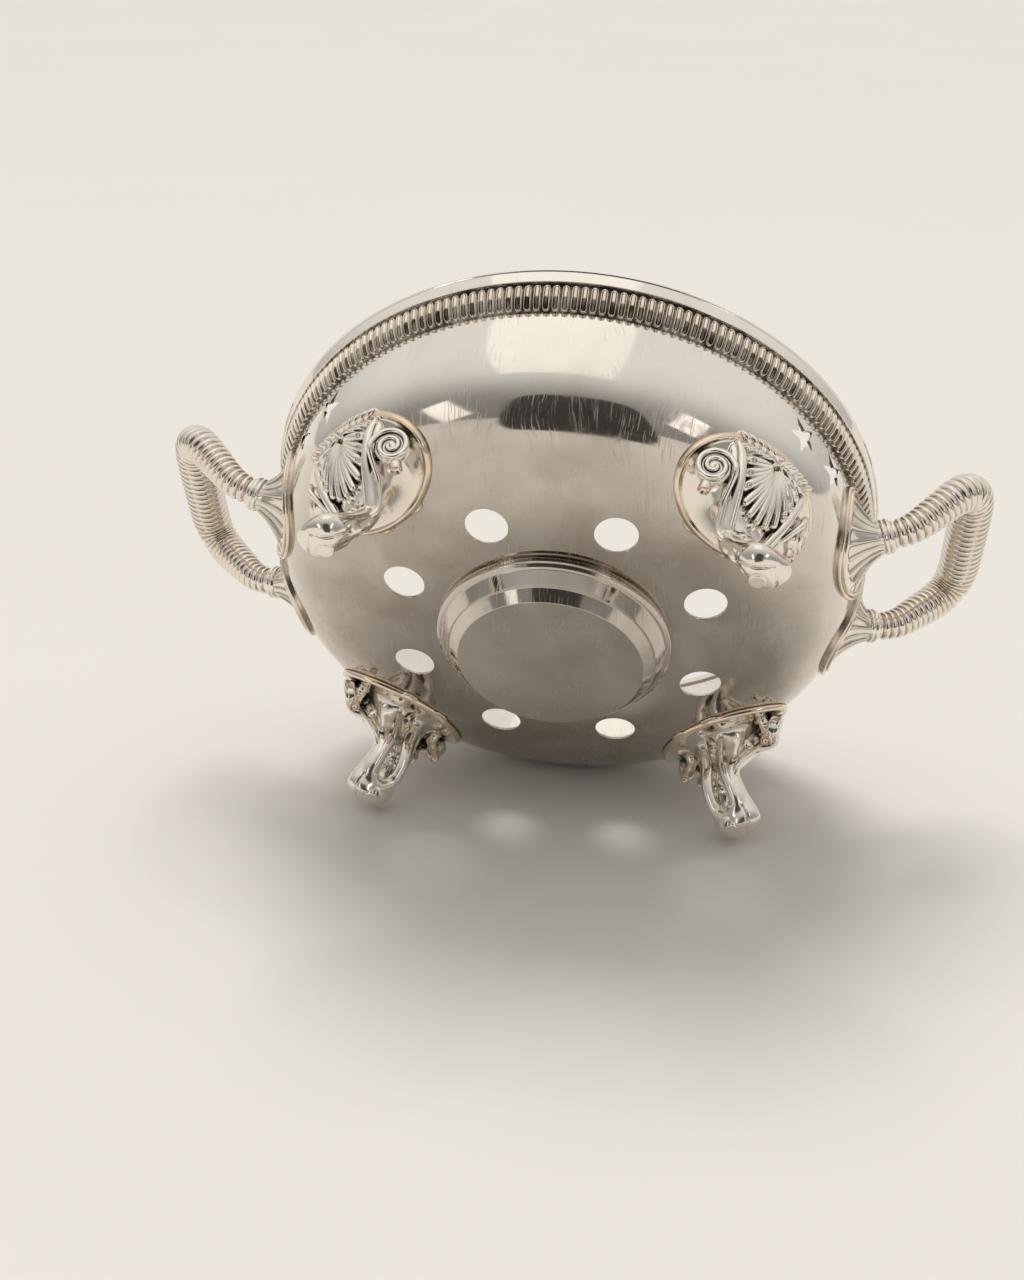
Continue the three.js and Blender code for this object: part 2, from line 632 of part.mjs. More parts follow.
// Scroll: a flat band that rises from the knee in an S and curls outwards round a volute
function scrollSolid(sign) {
  const face = new THREE.Vector3(0.72, sign * 0.66, -0.22).normalize();
  const rise = new THREE.Vector3(0, 0, 1).addScaledVector(face, -face.z).normalize();
  const inward = face.clone().cross(rise).multiplyScalar(sign).normalize();
  const spread = sign * VOLUTE_SPREAD;
  const eye = footPlace(-0.32, spread, 0.915);
  const stem = [
    footPlace(-0.39, 0.28 * spread, 0.46),
    footPlace(-0.18, 0.43 * spread, 0.6),
    footPlace(0.12, 0.56 * spread, 0.76),
  ];
  const curl = Array.from({ length: VOLUTE_STATIONS }, (_, k) => {
    const share = k / (VOLUTE_STATIONS - 1);
    const angle = TURN * VOLUTE_TURNS * share;
    const radius = VOLUTE_RADIUS - (VOLUTE_RADIUS - VOLUTE_EYE_RADIUS) * share;
    return eye.clone()
      .addScaledVector(inward, radius * Math.cos(angle))
      .addScaledVector(rise, VOLUTE_STRETCH * radius * Math.sin(angle));
  });
  const route = [...stem, ...curl];
  const rings = route.map((p, k) => {
    const before = route[Math.max(k - 1, 0)];
    const after = route[Math.min(k + 1, route.length - 1)];
    const tangent = after.clone().sub(before).normalize();
    const turn = Math.min(k / stem.length, 1);
    const wide = new THREE.Vector3(0, sign, 0).lerp(face, turn);
    wide.addScaledVector(tangent, -wide.dot(tangent)).setLength(VOLUTE_LENGTH / 2);
    const thick = tangent.clone().cross(wide).setLength(BAND_THICKNESS / 2);
    return [[1, 1], [-1, 1], [-1, -1], [1, -1]].map(([a, b]) => p.clone()
      .addScaledVector(wide, a)
      .addScaledVector(thick, b));
  });
  return solidOf(loft(rings));
}

// Palmette between the scrolls: lobes that spread down from a node, with a valley between each two
function palmetteSolid() {
  const node = footPlace(0.48, 0, 1.05);
  const base = footPlace(-0.21, 0, 0.6);
  const down = base.clone().sub(node).normalize();
  const side = new THREE.Vector3(0, 1, 0);
  const out = down.clone().cross(side).normalize();
  const rings = Array.from({ length: 2 * LOBE_COUNT + 1 }, (_, k) => {
    const angle = LOBE_SPREAD * (k / (2 * LOBE_COUNT) - 0.5);
    const along = down.clone().multiplyScalar(Math.cos(angle)).addScaledVector(side, Math.sin(angle));
    const ridge = k % 2 ? LOBE_RELIEF : 0;
    const tip = LOBE_LENGTH * (k % 2 ? 1 : 0.86);
    return [[LOBE_START, -LOBE_ROOT], [0.3 * tip, ridge], [0.84 * tip, ridge], [tip, -LOBE_ROOT]]
      .map(([far, rise]) => node.clone().addScaledVector(along, far).addScaledVector(out, rise));
  });
  return solidOf(loft(rings));
}

function makeFeet() {
  const corners = {
    front_right: -FOOT_ANGLE,
    front_left: FOOT_ANGLE - Math.PI,
    back_right: FOOT_ANGLE,
    back_left: Math.PI - FOOT_ANGLE,
  };
  const padHeight = 3 * FOOT_PAD_HEIGHT; // most of it lies inside the toe
  const pad = new THREE.CylinderGeometry(FOOT_PAD_RADIUS, FOOT_PAD_RADIUS, padHeight, SMALL_SIDES)
    .rotateX(Math.PI / 2)
    .translate(PAD_CENTRE_RADIUS, 0, padHeight / 2);
  let leg = legSolid().add(solidOf(pad));
  for (const hollow of legHollows()) leg = leg.subtract(hollow);
  const casting = leg.add(scrollSolid(-1)).add(scrollSolid(1)).add(palmetteSolid());
  for (const [corner, angle] of Object.entries(corners)) {
    const foot = casting.add(shieldSolid(angle)).subtract(skinSolid(SEAT_GAP, angle));
    addPiece(`foot_${corner}`, geometryOf(foot), 'casting', angle);
  }
}

// Spirit burner, standing in the well

const RESERVOIR_BASE_Z = WELL_BASE_Z + WELL_WALL + SEAT_GAP;
const RESERVOIR_RADIUS = WELL_FLOOR_RADIUS - WELL_WALL - BURNER_CLEARANCE;
const NECK_TOP_Z = RESERVOIR_BASE_Z + RESERVOIR_HEIGHT + RESERVOIR_NECK_HEIGHT;
const HOLDER_TOP_Z = NECK_TOP_Z + SEAT_GAP + HOLDER_PLATE_THICKNESS;
const TUBE_TOP_Z = HOLDER_TOP_Z + WICK_TUBE_HEIGHT;
const TUBE_RADIUS = WICK_RADIUS + WICK_FIT + WICK_TUBE_WALL;
const CAP_INNER_RADIUS = TUBE_RADIUS + CAP_CLEARANCE;
const CAP_RADIUS = CAP_INNER_RADIUS + CAP_WALL;
const CAP_LOW_Z = TUBE_TOP_Z - CAP_OVERLAP;
const CAP_TOP_Z = TUBE_TOP_Z + WICK_PROUD + CAP_HEAD_ROOM + CAP_WALL;
const PIN_X = -(CAP_RADIUS + HINGE_OFFSET);
const PIN_Z = CAP_LOW_Z;

// Round flat-topped lamp body with a neck and an open mouth
function makeReservoir() {
  const low = RESERVOIR_BASE_Z;
  const top = low + RESERVOIR_HEIGHT;
  const wall = RESERVOIR_WALL;
  const edge = RESERVOIR_EDGE;
  const profile = [
    [0, low],
    [RESERVOIR_RADIUS - edge, low],
    [RESERVOIR_RADIUS, low + edge],
    [RESERVOIR_RADIUS, top - 2 * edge],
    [RESERVOIR_RADIUS - edge, top - edge],
    [RESERVOIR_NECK_RADIUS, top],
    [RESERVOIR_NECK_RADIUS, NECK_TOP_Z],
    [RESERVOIR_MOUTH_RADIUS, NECK_TOP_Z],
    [RESERVOIR_MOUTH_RADIUS, top - wall],
    [RESERVOIR_RADIUS - edge - wall, top - edge - wall],
    [RESERVOIR_RADIUS - wall, top - 2 * edge - wall],
    [RESERVOIR_RADIUS - wall, low + edge],
    [RESERVOIR_RADIUS - edge - wall, low + wall],
    [0, low + wall],
  ];
  addPiece('burner_reservoir', revolve(profile, BURNER_SIDES, false), 'plate');
}

// Plate over the neck with the wick tube through it, and the wick that hangs into the lamp body
function makeWickHolder() {
  const low = NECK_TOP_Z + SEAT_GAP;
  const bore = WICK_RADIUS + WICK_FIT;
  const tail = low - HOLDER_TAIL;
  const profile = [
    [bore, tail], [TUBE_RADIUS, tail], [TUBE_RADIUS, low], [RESERVOIR_NECK_RADIUS, low],
    [RESERVOIR_NECK_RADIUS, HOLDER_TOP_Z], [TUBE_RADIUS, HOLDER_TOP_Z],
    [TUBE_RADIUS, TUBE_TOP_Z], [bore, TUBE_TOP_Z],
  ];
  addPiece('wick_holder', revolve(profile, HOLDER_SIDES), 'brass');
  const wickTop = TUBE_TOP_Z + WICK_PROUD;
  const wickLow = RESERVOIR_BASE_Z + RESERVOIR_WALL + WICK_FIT;
  const wick = new THREE.CylinderGeometry(WICK_RADIUS, WICK_RADIUS, wickTop - wickLow, SMALL_SIDES)
    .rotateX(Math.PI / 2)
    .translate(0, 0, (wickTop + wickLow) / 2);
  addPiece('wick', wick, 'cotton');
}

// A box by its sizes and its middle
function boxSolid(sizeX, sizeY, sizeZ, x, y, z) {
  return solidOf(new THREE.BoxGeometry(sizeX, sizeY, sizeZ).translate(x, y, z));
}

// A rod along Y on the hinge's axis
function hingeRod(radius, length) {
  return new THREE.CylinderGeometry(radius, radius, length, SMALL_SIDES).translate(PIN_X, 0, PIN_Z);
}

// Snuffer: a cup over the wick tube, with a strap and eye that turn on the pin, and a knob on top
function makeSnuffer() {
  const shoulder = CAP_TOP_Z - CAP_SHOULDER;
  const cup = [
    [CAP_INNER_RADIUS, CAP_LOW_Z], [CAP_RADIUS, CAP_LOW_Z], [CAP_RADIUS, shoulder],
    [CAP_RADIUS - CAP_SHOULDER, CAP_TOP_Z], [0, CAP_TOP_Z], [0, CAP_TOP_Z - CAP_WALL],
    [CAP_INNER_RADIUS, shoulder - CAP_WALL],
  ];
  const strapEnd = -CAP_RADIUS + CAP_WALL / 2;
  const strapHeight = 2 * HINGE_PIN_RADIUS;
  const strap = boxSolid(
    strapEnd - PIN_X, HINGE_STRAP_WIDTH, strapHeight, (strapEnd + PIN_X) / 2, 0, PIN_Z + strapHeight / 2,
  );
  const eye = solidOf(hingeRod(HINGE_EYE_RADIUS, HINGE_STRAP_WIDTH));
  const bore = solidOf(hingeRod(HINGE_PIN_RADIUS + HINGE_PIN_FIT, 2 * HINGE_STRAP_WIDTH));
  const cap = solidOf(revolve(cup, HOLDER_SIDES)).add(strap).add(eye).subtract(bore);
  addPiece('snuffer_cap', geometryOf(cap), 'brass');
  const low = CAP_TOP_Z + SEAT_GAP;
  const knob = [
    [0, low],
    [0.5 * KNOB_RADIUS, low],
    [0.4 * KNOB_RADIUS, low + 0.25 * KNOB_HEIGHT],
    [KNOB_RADIUS, low + 0.55 * KNOB_HEIGHT],
    [0.8 * KNOB_RADIUS, low + 0.88 * KNOB_HEIGHT],
    [0, low + KNOB_HEIGHT],
  ];
  addPiece('snuffer_knob', revolve(knob, SMALL_SIDES, false), 'brass');
}

// Two cheeks that stand on the wick holder's plate and carry the pin
function makeHingeBracket() {
  const cheek = HINGE_CHEEK_THICKNESS;
  const cheekY = HINGE_STRAP_WIDTH / 2 + HINGE_SIDE_GAP + cheek / 2;
  const low = HOLDER_TOP_Z + SEAT_GAP;
  const height = PIN_Z + HINGE_EYE_RADIUS - low;
  const far = PIN_X - HINGE_EYE_RADIUS;
  const near = -(TUBE_RADIUS + SEAT_GAP);
  const bore = solidOf(hingeRod(HINGE_PIN_RADIUS + HINGE_PIN_FIT, 4 * cheekY));
  const base = boxSolid(near - far, 2 * cheekY + cheek, cheek, (near + far) / 2, 0, low + cheek / 2);
  const bracket = [-1, 1].reduce((solid, sign) => solid.add(boxSolid(
    2 * HINGE_EYE_RADIUS, cheek, height, PIN_X, sign * cheekY, low + height / 2,
  )), base);
  addPiece('hinge_bracket', geometryOf(bracket.subtract(bore)), 'brass');
  const pinLength = 2 * (cheekY + cheek);
  addPiece('hinge_pin', hingeRod(HINGE_PIN_RADIUS, pinLength), 'brass');
}

// Bail: a bent wire loop soldered to the lamp body's shoulder, to lift it out by
function makeBail() {
  const foot = (RESERVOIR_RADIUS + RESERVOIR_NECK_RADIUS) / 2;
  const slope = RESERVOIR_EDGE / (RESERVOIR_RADIUS - RESERVOIR_EDGE - RESERVOIR_NECK_RADIUS);
  const seat = (x) => RESERVOIR_BASE_Z + RESERVOIR_HEIGHT + SEAT_GAP + BAIL_RADIUS
    - slope * (Math.hypot(x, BAIL_HALF_WIDTH) - RESERVOIR_NECK_RADIUS);
  const tail = foot - BAIL_TAIL;
  const top = seat(foot) + BAIL_HEIGHT;
  const corners = [
    new THREE.Vector3(tail, -BAIL_HALF_WIDTH, seat(tail)),
    new THREE.Vector3(foot, -BAIL_HALF_WIDTH, seat(foot)),
    new THREE.Vector3(foot, -BAIL_HALF_WIDTH, top),
    new THREE.Vector3(foot, BAIL_HALF_WIDTH, top),
    new THREE.Vector3(foot, BAIL_HALF_WIDTH, seat(foot)),
    new THREE.Vector3(tail, BAIL_HALF_WIDTH, seat(tail)),
  ];
  const round = 2 * BAIL_RADIUS;
  const route = roundedRoute(corners, [round, 2 * round, 2 * round, round], BAIL_STEPS);
  const rings = route.map((p, k) => {
    const before = route[Math.max(k - 1, 0)];
    const after = route[Math.min(k + 1, BAIL_STEPS)];
    const tangent = after.clone().sub(before).normalize();
    const first = tangent.clone().cross(new THREE.Vector3(1, 1, -1)).normalize();
    return ringAt(p, first, tangent.clone().cross(first), BAIL_RADIUS, BAIL_RADIUS, BAIL_SIDES);
  });
  addPiece('burner_bail', loft(rings), 'brass');
}

makeBowl();
makeRimBand();
makeGadroonBorder();
makeBurnerWell();
makeHandles();
makeFeet();
makeReservoir();
makeWickHolder();
makeSnuffer();
makeHingeBracket();
makeBail();

export default model;
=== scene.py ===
# Looks of the silver-plated dish warmer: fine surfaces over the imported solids, metal finishes,
# a plain pale floor and soft studio light. Shapes are worked out in millimetres.
import math

import bpy
import numpy as np
from mathutils import Matrix, Quaternion, Vector


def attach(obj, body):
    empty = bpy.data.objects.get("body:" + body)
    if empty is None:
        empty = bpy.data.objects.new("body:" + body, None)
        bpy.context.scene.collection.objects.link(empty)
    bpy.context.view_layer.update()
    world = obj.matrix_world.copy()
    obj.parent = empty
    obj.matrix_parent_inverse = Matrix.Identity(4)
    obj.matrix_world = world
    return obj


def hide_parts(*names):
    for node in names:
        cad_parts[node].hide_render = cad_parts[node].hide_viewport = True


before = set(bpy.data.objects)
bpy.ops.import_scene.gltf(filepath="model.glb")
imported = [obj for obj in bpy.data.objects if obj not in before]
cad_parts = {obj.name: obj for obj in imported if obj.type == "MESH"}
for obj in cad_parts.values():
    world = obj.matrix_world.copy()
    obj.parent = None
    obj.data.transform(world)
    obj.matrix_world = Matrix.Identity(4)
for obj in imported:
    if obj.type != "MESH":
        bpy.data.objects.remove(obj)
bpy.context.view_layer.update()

MM = 0.001
TURN = 2 * math.pi

# Sizes shared with the solids
BOWL_RADIUS = 118.3
BOWL_FLOOR_Z = 32.2
BOWL_SHOULDER_Z = 87.3
BOWL_TOP_Z = 98.6
BOWL_ROUNDNESS = 3.4
BOWL_WALL = 1.2
BOWL_DEPTH = BOWL_SHOULDER_Z - BOWL_FLOOR_Z
VENT_RADIUS = 8.25
VENT_RING_RADIUS = 63.3
STAR_RADIUS = 8.3
STAR_WAIST_RADIUS = 3.4
STAR_CENTRE_Z = BOWL_TOP_Z - 24.8
STAR_ANGLES = (29.9, 40.4)
WELL_MOUTH_RADIUS = 43.6
REED_COUNT = 220
SOCKET_Z = BOWL_TOP_Z - 24.4
SOCKET_HALF_SPAN = 26.6
SOCKET_REACH = 10.4
SOCKET_RISE = math.radians(15)
SOCKET_ANGLE = math.asin(SOCKET_HALF_SPAN / (BOWL_RADIUS + SOCKET_REACH))
NECK_RADIUS = 6.2
COLLAR_LENGTH = 4.0
HANDLE_REACH = 43.2
HANDLE_TOP_Z = SOCKET_Z + 28.8
HANDLE_CORNER_HALF_SPAN = 32.5
HANDLE_CORNER_ROUND = 17
HANDLE_LEAD = 8
HANDLE_RING_COUNT = 50
HINGE_X = -11.2
HINGE_Z = 50.5


# Mesh helpers

def unit(vectors):
    return vectors / np.maximum(np.linalg.norm(vectors, axis=-1, keepdims=True), 1e-12)


def grid_faces(rows, columns, close_rows=False):
    """Faces of a grid whose last column meets its first."""
    i = np.arange(rows if close_rows else rows - 1)[:, None]
    j = np.arange(columns)[None, :]
    corners = [(i, j), (i, j + 1), (i + 1, j + 1), (i + 1, j)]
    return np.stack([(a % rows) * columns + b % columns for a, b in corners], -1).reshape(-1, 4)


def facing(points, faces, normals):
    """Turns each face over that points against the normals of its corners."""
    corner = points[faces]
    face = np.cross(corner[:, 2] - corner[:, 0], corner[:, -1] - corner[:, 1])
    wrong = (face * normals[faces].sum(1)).sum(-1) < 0
    faces = faces.copy()
    faces[wrong] = faces[wrong, ::-1]
    return faces


def grid_normals(grid, outward):
    """Normals of a grid whose last column meets its first, on the side that outward shows."""
    across = np.roll(grid, -1, 1) - np.roll(grid, 1, 1)
    normals = unit(np.cross(np.gradient(grid, axis=0), across))
    return normals * math.copysign(1, float((normals * outward).sum()))


def spin_about_z(angle):
    """Points times this are turned about Z."""
    return np.array(Matrix.Rotation(angle, 3, "Z")).T


def add_piece(name, points, faces, finish, body, nodes=(), normals=None, slot=None, **marks):
    """A shaded mesh piece. Marks are numbers at its vertices, which the finishes read."""
    mesh = bpy.data.meshes.new(name)
    faces = faces.tolist() if hasattr(faces, "tolist") else faces
    mesh.from_pydata((np.asarray(points, float) * MM).tolist(), [], faces)
    mesh.polygons.foreach_set("use_smooth", [True] * len(mesh.polygons))
    for key, values in marks.items():
        mark = mesh.attributes.new(key, "FLOAT", "POINT")
        mark.data.foreach_set("value", np.ascontiguousarray(values, dtype=np.float32).ravel())
    if normals is not None:
        mesh.normals_split_custom_set_from_vertices(np.asarray(normals, float).tolist())
    return add_mesh(name, mesh, finish, body, nodes)


def add_grid(name, grid, normals, finish, body, nodes, slot, spin=None, **marks):
    """A piece from a grid whose last column meets its first, turned by spin."""
    points, out = grid.reshape(-1, 3), normals.reshape(-1, 3)
    faces = facing(points, grid_faces(*grid.shape[:2]), out)
    if spin is not None:
        points, out = points @ spin, out @ spin
    return add_piece(name, points, faces, finish, body, nodes, out, slot, **marks)


def add_mesh(name, mesh, finish, body, nodes=()):
    mesh.materials.append(finish)
    piece = bpy.data.objects.new(name, mesh)
    bpy.context.collection.objects.link(piece)
    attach(piece, body)
    if nodes:
        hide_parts(*nodes)
    return piece


def rounded_line(corners, closed=False, steps=5):
    """Points and tangents of a line through (x, y, rounding) corners, with each corner rounded."""
    corners = np.array(corners, float)
    count = len(corners)
    points, tangents = [], []
    for k in range(count):
        here = corners[k, :2]
        if not closed and k in (0, count - 1):
            other = corners[1 if k == 0 else -2, :2]
            direction = unit(other - here) * (1 if k == 0 else -1)
            points.append(here)
            tangents.append(direction)
            continue
        before, after = corners[k - 1, :2], corners[(k + 1) % count, :2]
        into, out = unit(here - before), unit(after - here)
        cross = into[0] * out[1] - into[1] * out[0]
        turn = math.atan2(cross, float(into @ out))
        room = 0.48 * min(np.linalg.norm(here - before), np.linalg.norm(after - here))
        cut = min(max(corners[k, 2], 0.02) * math.tan(abs(turn) / 2), room)
        radius = cut / max(math.tan(abs(turn) / 2), 1e-9)
        start = here - into * cut
        side = np.array([-into[1], into[0]]) * math.copysign(1, turn)
        arcs = max(2, int(steps * abs(turn) / 0.8) + 1)
        for j in range(arcs + 1):
            angle = abs(turn) * j / arcs
            points.append(start + radius * (math.sin(angle) * into + (1 - math.cos(angle)) * side))
            tangents.append(math.cos(angle) * into + math.sin(angle) * side)
    return np.array(points), np.array(tangents)


def revolved(points, tangents, sides, closed=False):
    """Points, faces and normals of a profile turned about Z."""
    angle = np.arange(sides) * TURN / sides
    spin = np.stack([np.cos(angle), np.sin(angle)], -1)
    rows = len(points)
    grid = np.zeros((rows, sides, 3))
    normals = np.zeros((rows, sides, 3))
    grid[..., :2] = points[:, None, :1] * spin
    grid[..., 2] = points[:, 1:]
    normals[..., :2] = tangents[:, None, 1:] * spin
    normals[..., 2] = -tangents[:, :1]
    faces = grid_faces(rows, sides, closed)
    label = np.arange(rows * sides).reshape(rows, sides)
    for row in range(rows):
        if points[row, 0] < 1e-6:
            label[row] = label[row, 0]
            normals[row] = normals[row, :1] * [0, 0, 1]
    normals = unit(normals) * math.copysign(1, signed_area(points))
    points3, normals3 = grid.reshape(-1, 3), normals.reshape(-1, 3)
    faces = label.ravel()[facing(points3, faces, normals3)]
    used, back = np.unique(faces, return_inverse=True)
    faces = back.reshape(faces.shape)
    clean = [list(dict.fromkeys(face)) for face in faces.tolist()]
    return points3[used], clean, normals3[used]


def signed_area(points):
    x, y = points[:, 0], points[:, 1]
    return 0.5 * float(np.sum(x * np.roll(y, -1) - np.roll(x, -1) * y))


def add_turned(name, corners, sides, finish, body, nodes=(), slot=None, closed=False, steps=5):
    """A turned piece from (radius, height, rounding) corners."""
    line, tangents = rounded_line(corners, closed, steps)
    points, faces, normals = revolved(line, tangents, sides, closed)
    return add_piece(name, points, faces, finish, body, nodes, normals, slot)


# Finishes

class Nodes:
    """Adds nodes to a material or world and links them."""

    def __init__(self, owner):
        owner.use_nodes = True
        self.tree = owner.node_tree
        self.tree.nodes.clear()

    def add(self, kind, values=None, **settings):
        node = self.tree.nodes.new("ShaderNode" + kind)
        for key, value in settings.items():
            setattr(node, key, value)
        for key, value in (values or {}).items():
            if isinstance(value, bpy.types.NodeSocket):
                self.tree.links.new(value, node.inputs[key])
            else:
                node.inputs[key].default_value = value
        return node

    def maths(self, operation, a, b=0.0, clamp=False):
        return self.add("Math", {0: a, 1: b}, operation=operation, use_clamp=clamp).outputs[0]

    def ramp(self, value, low, high, to_low=0.0, to_high=1.0):
        values = {0: value, 1: low, 2: high, 3: to_low, 4: to_high}
        return self.add("MapRange", values, interpolation_type="SMOOTHSTEP").outputs[0]

    def blend(self, share, a, b):
        return self.add("Mix", {0: share, 6: a, 7: b}, data_type="RGBA").outputs[2]

    def noise(self, vector, scale, detail=3.0, rough=0.5, distortion=0.0):
        values = {"Vector": vector, "Scale": scale, "Detail": detail, "Roughness": rough,
                  "Distortion": distortion}
        return self.add("TexNoise", values).outputs["Fac"]

    def vector_maths(self, operation, vector, by):
        return self.add("VectorMath", {0: vector, 1: by}, operation=operation).outputs[0]

    def coat(self, base, roughness, metallic=0.0, bump=None):
        """Ends a material; bump is its strength, its distance in metres and its height."""
        values = {"Base Color": base, "Roughness": roughness, "Metallic": metallic}
        if bump:
            keys = dict(zip(("Strength", "Distance", "Height"), bump))
            values["Normal"] = self.add("Bump", keys).outputs[0]
        shader = self.add("BsdfPrincipled", values)
        self.add("OutputMaterial", {0: shader.outputs[0]})


def new_material(name):
    """A material, its nodes, and the place on the object that its patterns read."""
    material = bpy.data.materials.new(name)
    n = Nodes(material)
    return material, n, n.add("TexCoord").outputs["Object"]


def colour(red, green, blue):
    return (red, green, blue, 1.0)


# Hair scratches: turn, then length, spacing and share of the crests kept, in mm
SCRATCHES = (
    ((0.3, 0.5, 0.9), 12, 0.5, 0.34),
    ((1.2, -0.4, -0.7), 16, 0.6, 0.34),
    ((-0.6, 1.3, 0.2), 10, 0.45, 0.33),
    ((0.8, 0.1, 2.2), 20, 0.6, 0.33),
)
SCRATCH_EDGE = 0.035
DULL = colour(0.74, 0.67, 0.585)
SCRATCH_TONE = colour(0.93, 0.9, 0.85)
# Tarnish colour for the plate's low parts, which also stands in for a painted dark reflection there
LOW_TARNISH_AND_SHADE = colour(0.36, 0.31, 0.255)
WORN = colour(0.82, 0.62, 0.4)
COPPERY = colour(0.66, 0.3, 0.2)
# Near-black brown for the marked hollows and gaps: patina, and painted shade
HOLLOW_PATINA_AND_SHADE = colour(0.055, 0.038, 0.024)


def hair_scratches(n, where, rotation, length, spacing, share):
    """Thin broken lines on a surface: a noise of thin sheets, cut to its crests."""
    scale = (1000 / spacing, 1000 / length, 1000 / length)
    values = {"Vector": where, "Rotation": rotation, "Scale": scale}
    stretched = n.add("Mapping", values).outputs[0]
    return n.ramp(n.noise(stretched, 1.0, 1.0, 0.5), 1 - share, 1 - share + SCRATCH_EDGE)


def silver(name, tone=(0.93, 0.885, 0.825), rough=(0.06, 0.12), scratch=1.0, tarnish=0.35, marks=False,
           under=0.0):
    """Silver plate: warm mirror metal under a light haze, with curved hair scratches, hazy patches where it
    was rubbed, duller spots, and hollows darkened by patina and painted shade. Under is how dark it goes towards
    its foot: partly tarnish, partly a painted dark reflection."""
    material, n, where = new_material(name)
    patches = n.noise(where, 26.0, 4.0, 0.55, 0.4)
    clouds = n.noise(where, 62.0, 5.0, 0.62, 0.8)
    share = n.maths("MULTIPLY", n.ramp(patches, 0.42, 0.72), tarnish)
    base = n.blend(share, colour(*tone), DULL)

    bend = n.add("TexNoise", {"Vector": where, "Scale": 42.0, "Detail": 1.0}).outputs["Color"]
    bent = n.vector_maths("SUBTRACT", bend, (0.5, 0.5, 0.5))
    curved = n.vector_maths("ADD", where, n.vector_maths("MULTIPLY", bent, (0.012, 0.012, 0.012)))
    scratches = 0.0
    for rotation, length, spacing, kept in SCRATCHES:
        scratches = n.maths("MAXIMUM", hair_scratches(n, curved, rotation, length, spacing, kept), scratches)
    broken = n.ramp(n.noise(where, 90.0, 2.0), 0.4, 0.66, 0.25, 1.0)
    scratches = n.maths("MULTIPLY", scratches, broken)
    base = n.blend(n.maths("MULTIPLY", scratches, 0.16 * scratch), base, SCRATCH_TONE)

    rubbed = n.ramp(clouds, 0.56, 0.74, 0.0, 0.16 * scratch)
    roughness = n.maths("ADD", n.ramp(patches, 0.3, 0.75, *rough), rubbed)
    roughness = n.maths("ADD", roughness, n.maths("MULTIPLY", scratches, 0.34 * scratch))
    height = n.maths("ADD", n.maths("MULTIPLY", n.noise(where, 14.0, 1.0), 6.0),
                     n.maths("MULTIPLY", n.noise(where, 48.0, 1.0), 2.6))
    height = n.maths("ADD", height, n.maths("MULTIPLY", scratches, -0.16 * scratch))
    # Towards the foot the base darkens: partly tarnish, partly a painted dark reflection
    if under:
        level = n.add("SeparateXYZ", {0: where}).outputs["Z"]
        low_tarnish_and_shade_share = n.maths("MULTIPLY", n.ramp(level, 0.07, 0.034), n.ramp(patches, 0.25, 0.75, 0.65, 1.0))
        base = n.blend(n.maths("MULTIPLY", low_tarnish_and_shade_share, under), base, LOW_TARNISH_AND_SHADE)
    if marks:
        cavity, wear, copper = (n.add("Attribute", attribute_name=mark).outputs["Fac"]
                                for mark in ("cavity", "wear", "copper"))
        uneven = n.ramp(n.noise(where, 130.0, 3.0, 0.6), 0.3, 0.7, 0.55, 1.0)
        base = n.blend(n.maths("MULTIPLY", wear, uneven), base, WORN)
        base = n.blend(n.maths("MULTIPLY", copper, uneven), base, COPPERY)
        # Painted shade with patina: the marked hollows and gaps darken towards near black
        dark = n.maths("MULTIPLY", cavity, uneven)
        base = n.blend(dark, base, HOLLOW_PATINA_AND_SHADE)
        roughness = n.maths("ADD", roughness, n.maths("MULTIPLY", dark, 0.35), clamp=True)
    n.coat(base, roughness, 1.0, (0.35, 0.00004, height))
    return material


def brass(name):
    """Turned brass, lightly tarnished, with fine turning lines."""
    material, n, where = new_material(name)
    patches = n.noise(where, 60.0, 4.0, 0.6, 0.5)
    base = n.blend(n.ramp(patches, 0.4, 0.7), colour(0.74, 0.56, 0.3), colour(0.4, 0.27, 0.13))
    level = n.add("SeparateXYZ", {0: where}).outputs["Z"]
    turning = n.maths("SINE", n.maths("MULTIPLY", level, 22000.0))
    height = n.maths("ADD", n.maths("MULTIPLY", turning, 0.12), n.noise(where, 400.0, 3.0))
    n.coat(base, n.ramp(patches, 0.3, 0.7, 0.2, 0.42), 1.0, (0.3, 0.00003, height))
    return material


def cotton(name):
    """Woven cotton, singed dark towards the top."""
    material, n, where = new_material(name)
    axes = n.add("SeparateXYZ", {0: where}).outputs
    around = n.maths("MULTIPLY", n.maths("ARCTAN2", axes["Y"], axes["X"]), 22.0)
    up = n.maths("MULTIPLY", axes["Z"], 3200.0)
    warp, weft = (n.maths("SINE", n.maths(way, around, up)) for way in ("ADD", "SUBTRACT"))
    weave = n.maths("MULTIPLY", n.maths("ADD", warp, weft), 0.5)
    ragged = n.maths("MULTIPLY", n.noise(where, 500.0), 0.003)
    singe = n.ramp(n.maths("ADD", axes["Z"], ragged), 0.0545, 0.0592)
    base = n.blend(n.ramp(weave, -1.0, 1.0), colour(0.6, 0.53, 0.42), colour(0.84, 0.79, 0.68))
    base = n.blend(singe, base, colour(0.03, 0.024, 0.02))
    n.coat(base, 0.95, bump=(0.7, 0.0003, weave))
    return material


# The plate and its underside darken towards the foot: tarnish with a painted dark reflection
PLATE = silver("plate", under=0.84)
UNDER = silver("plate_under", tarnish=0.4, under=0.72)
SMOOTH = silver("plate_bright", scratch=0.6, tarnish=0.25)
CAST = silver("casting", tone=(0.91, 0.86, 0.79), rough=(0.09, 0.18), scratch=0.3, marks=True)
BRASS = brass("brass")
COTTON = cotton("cotton")


# Bowl

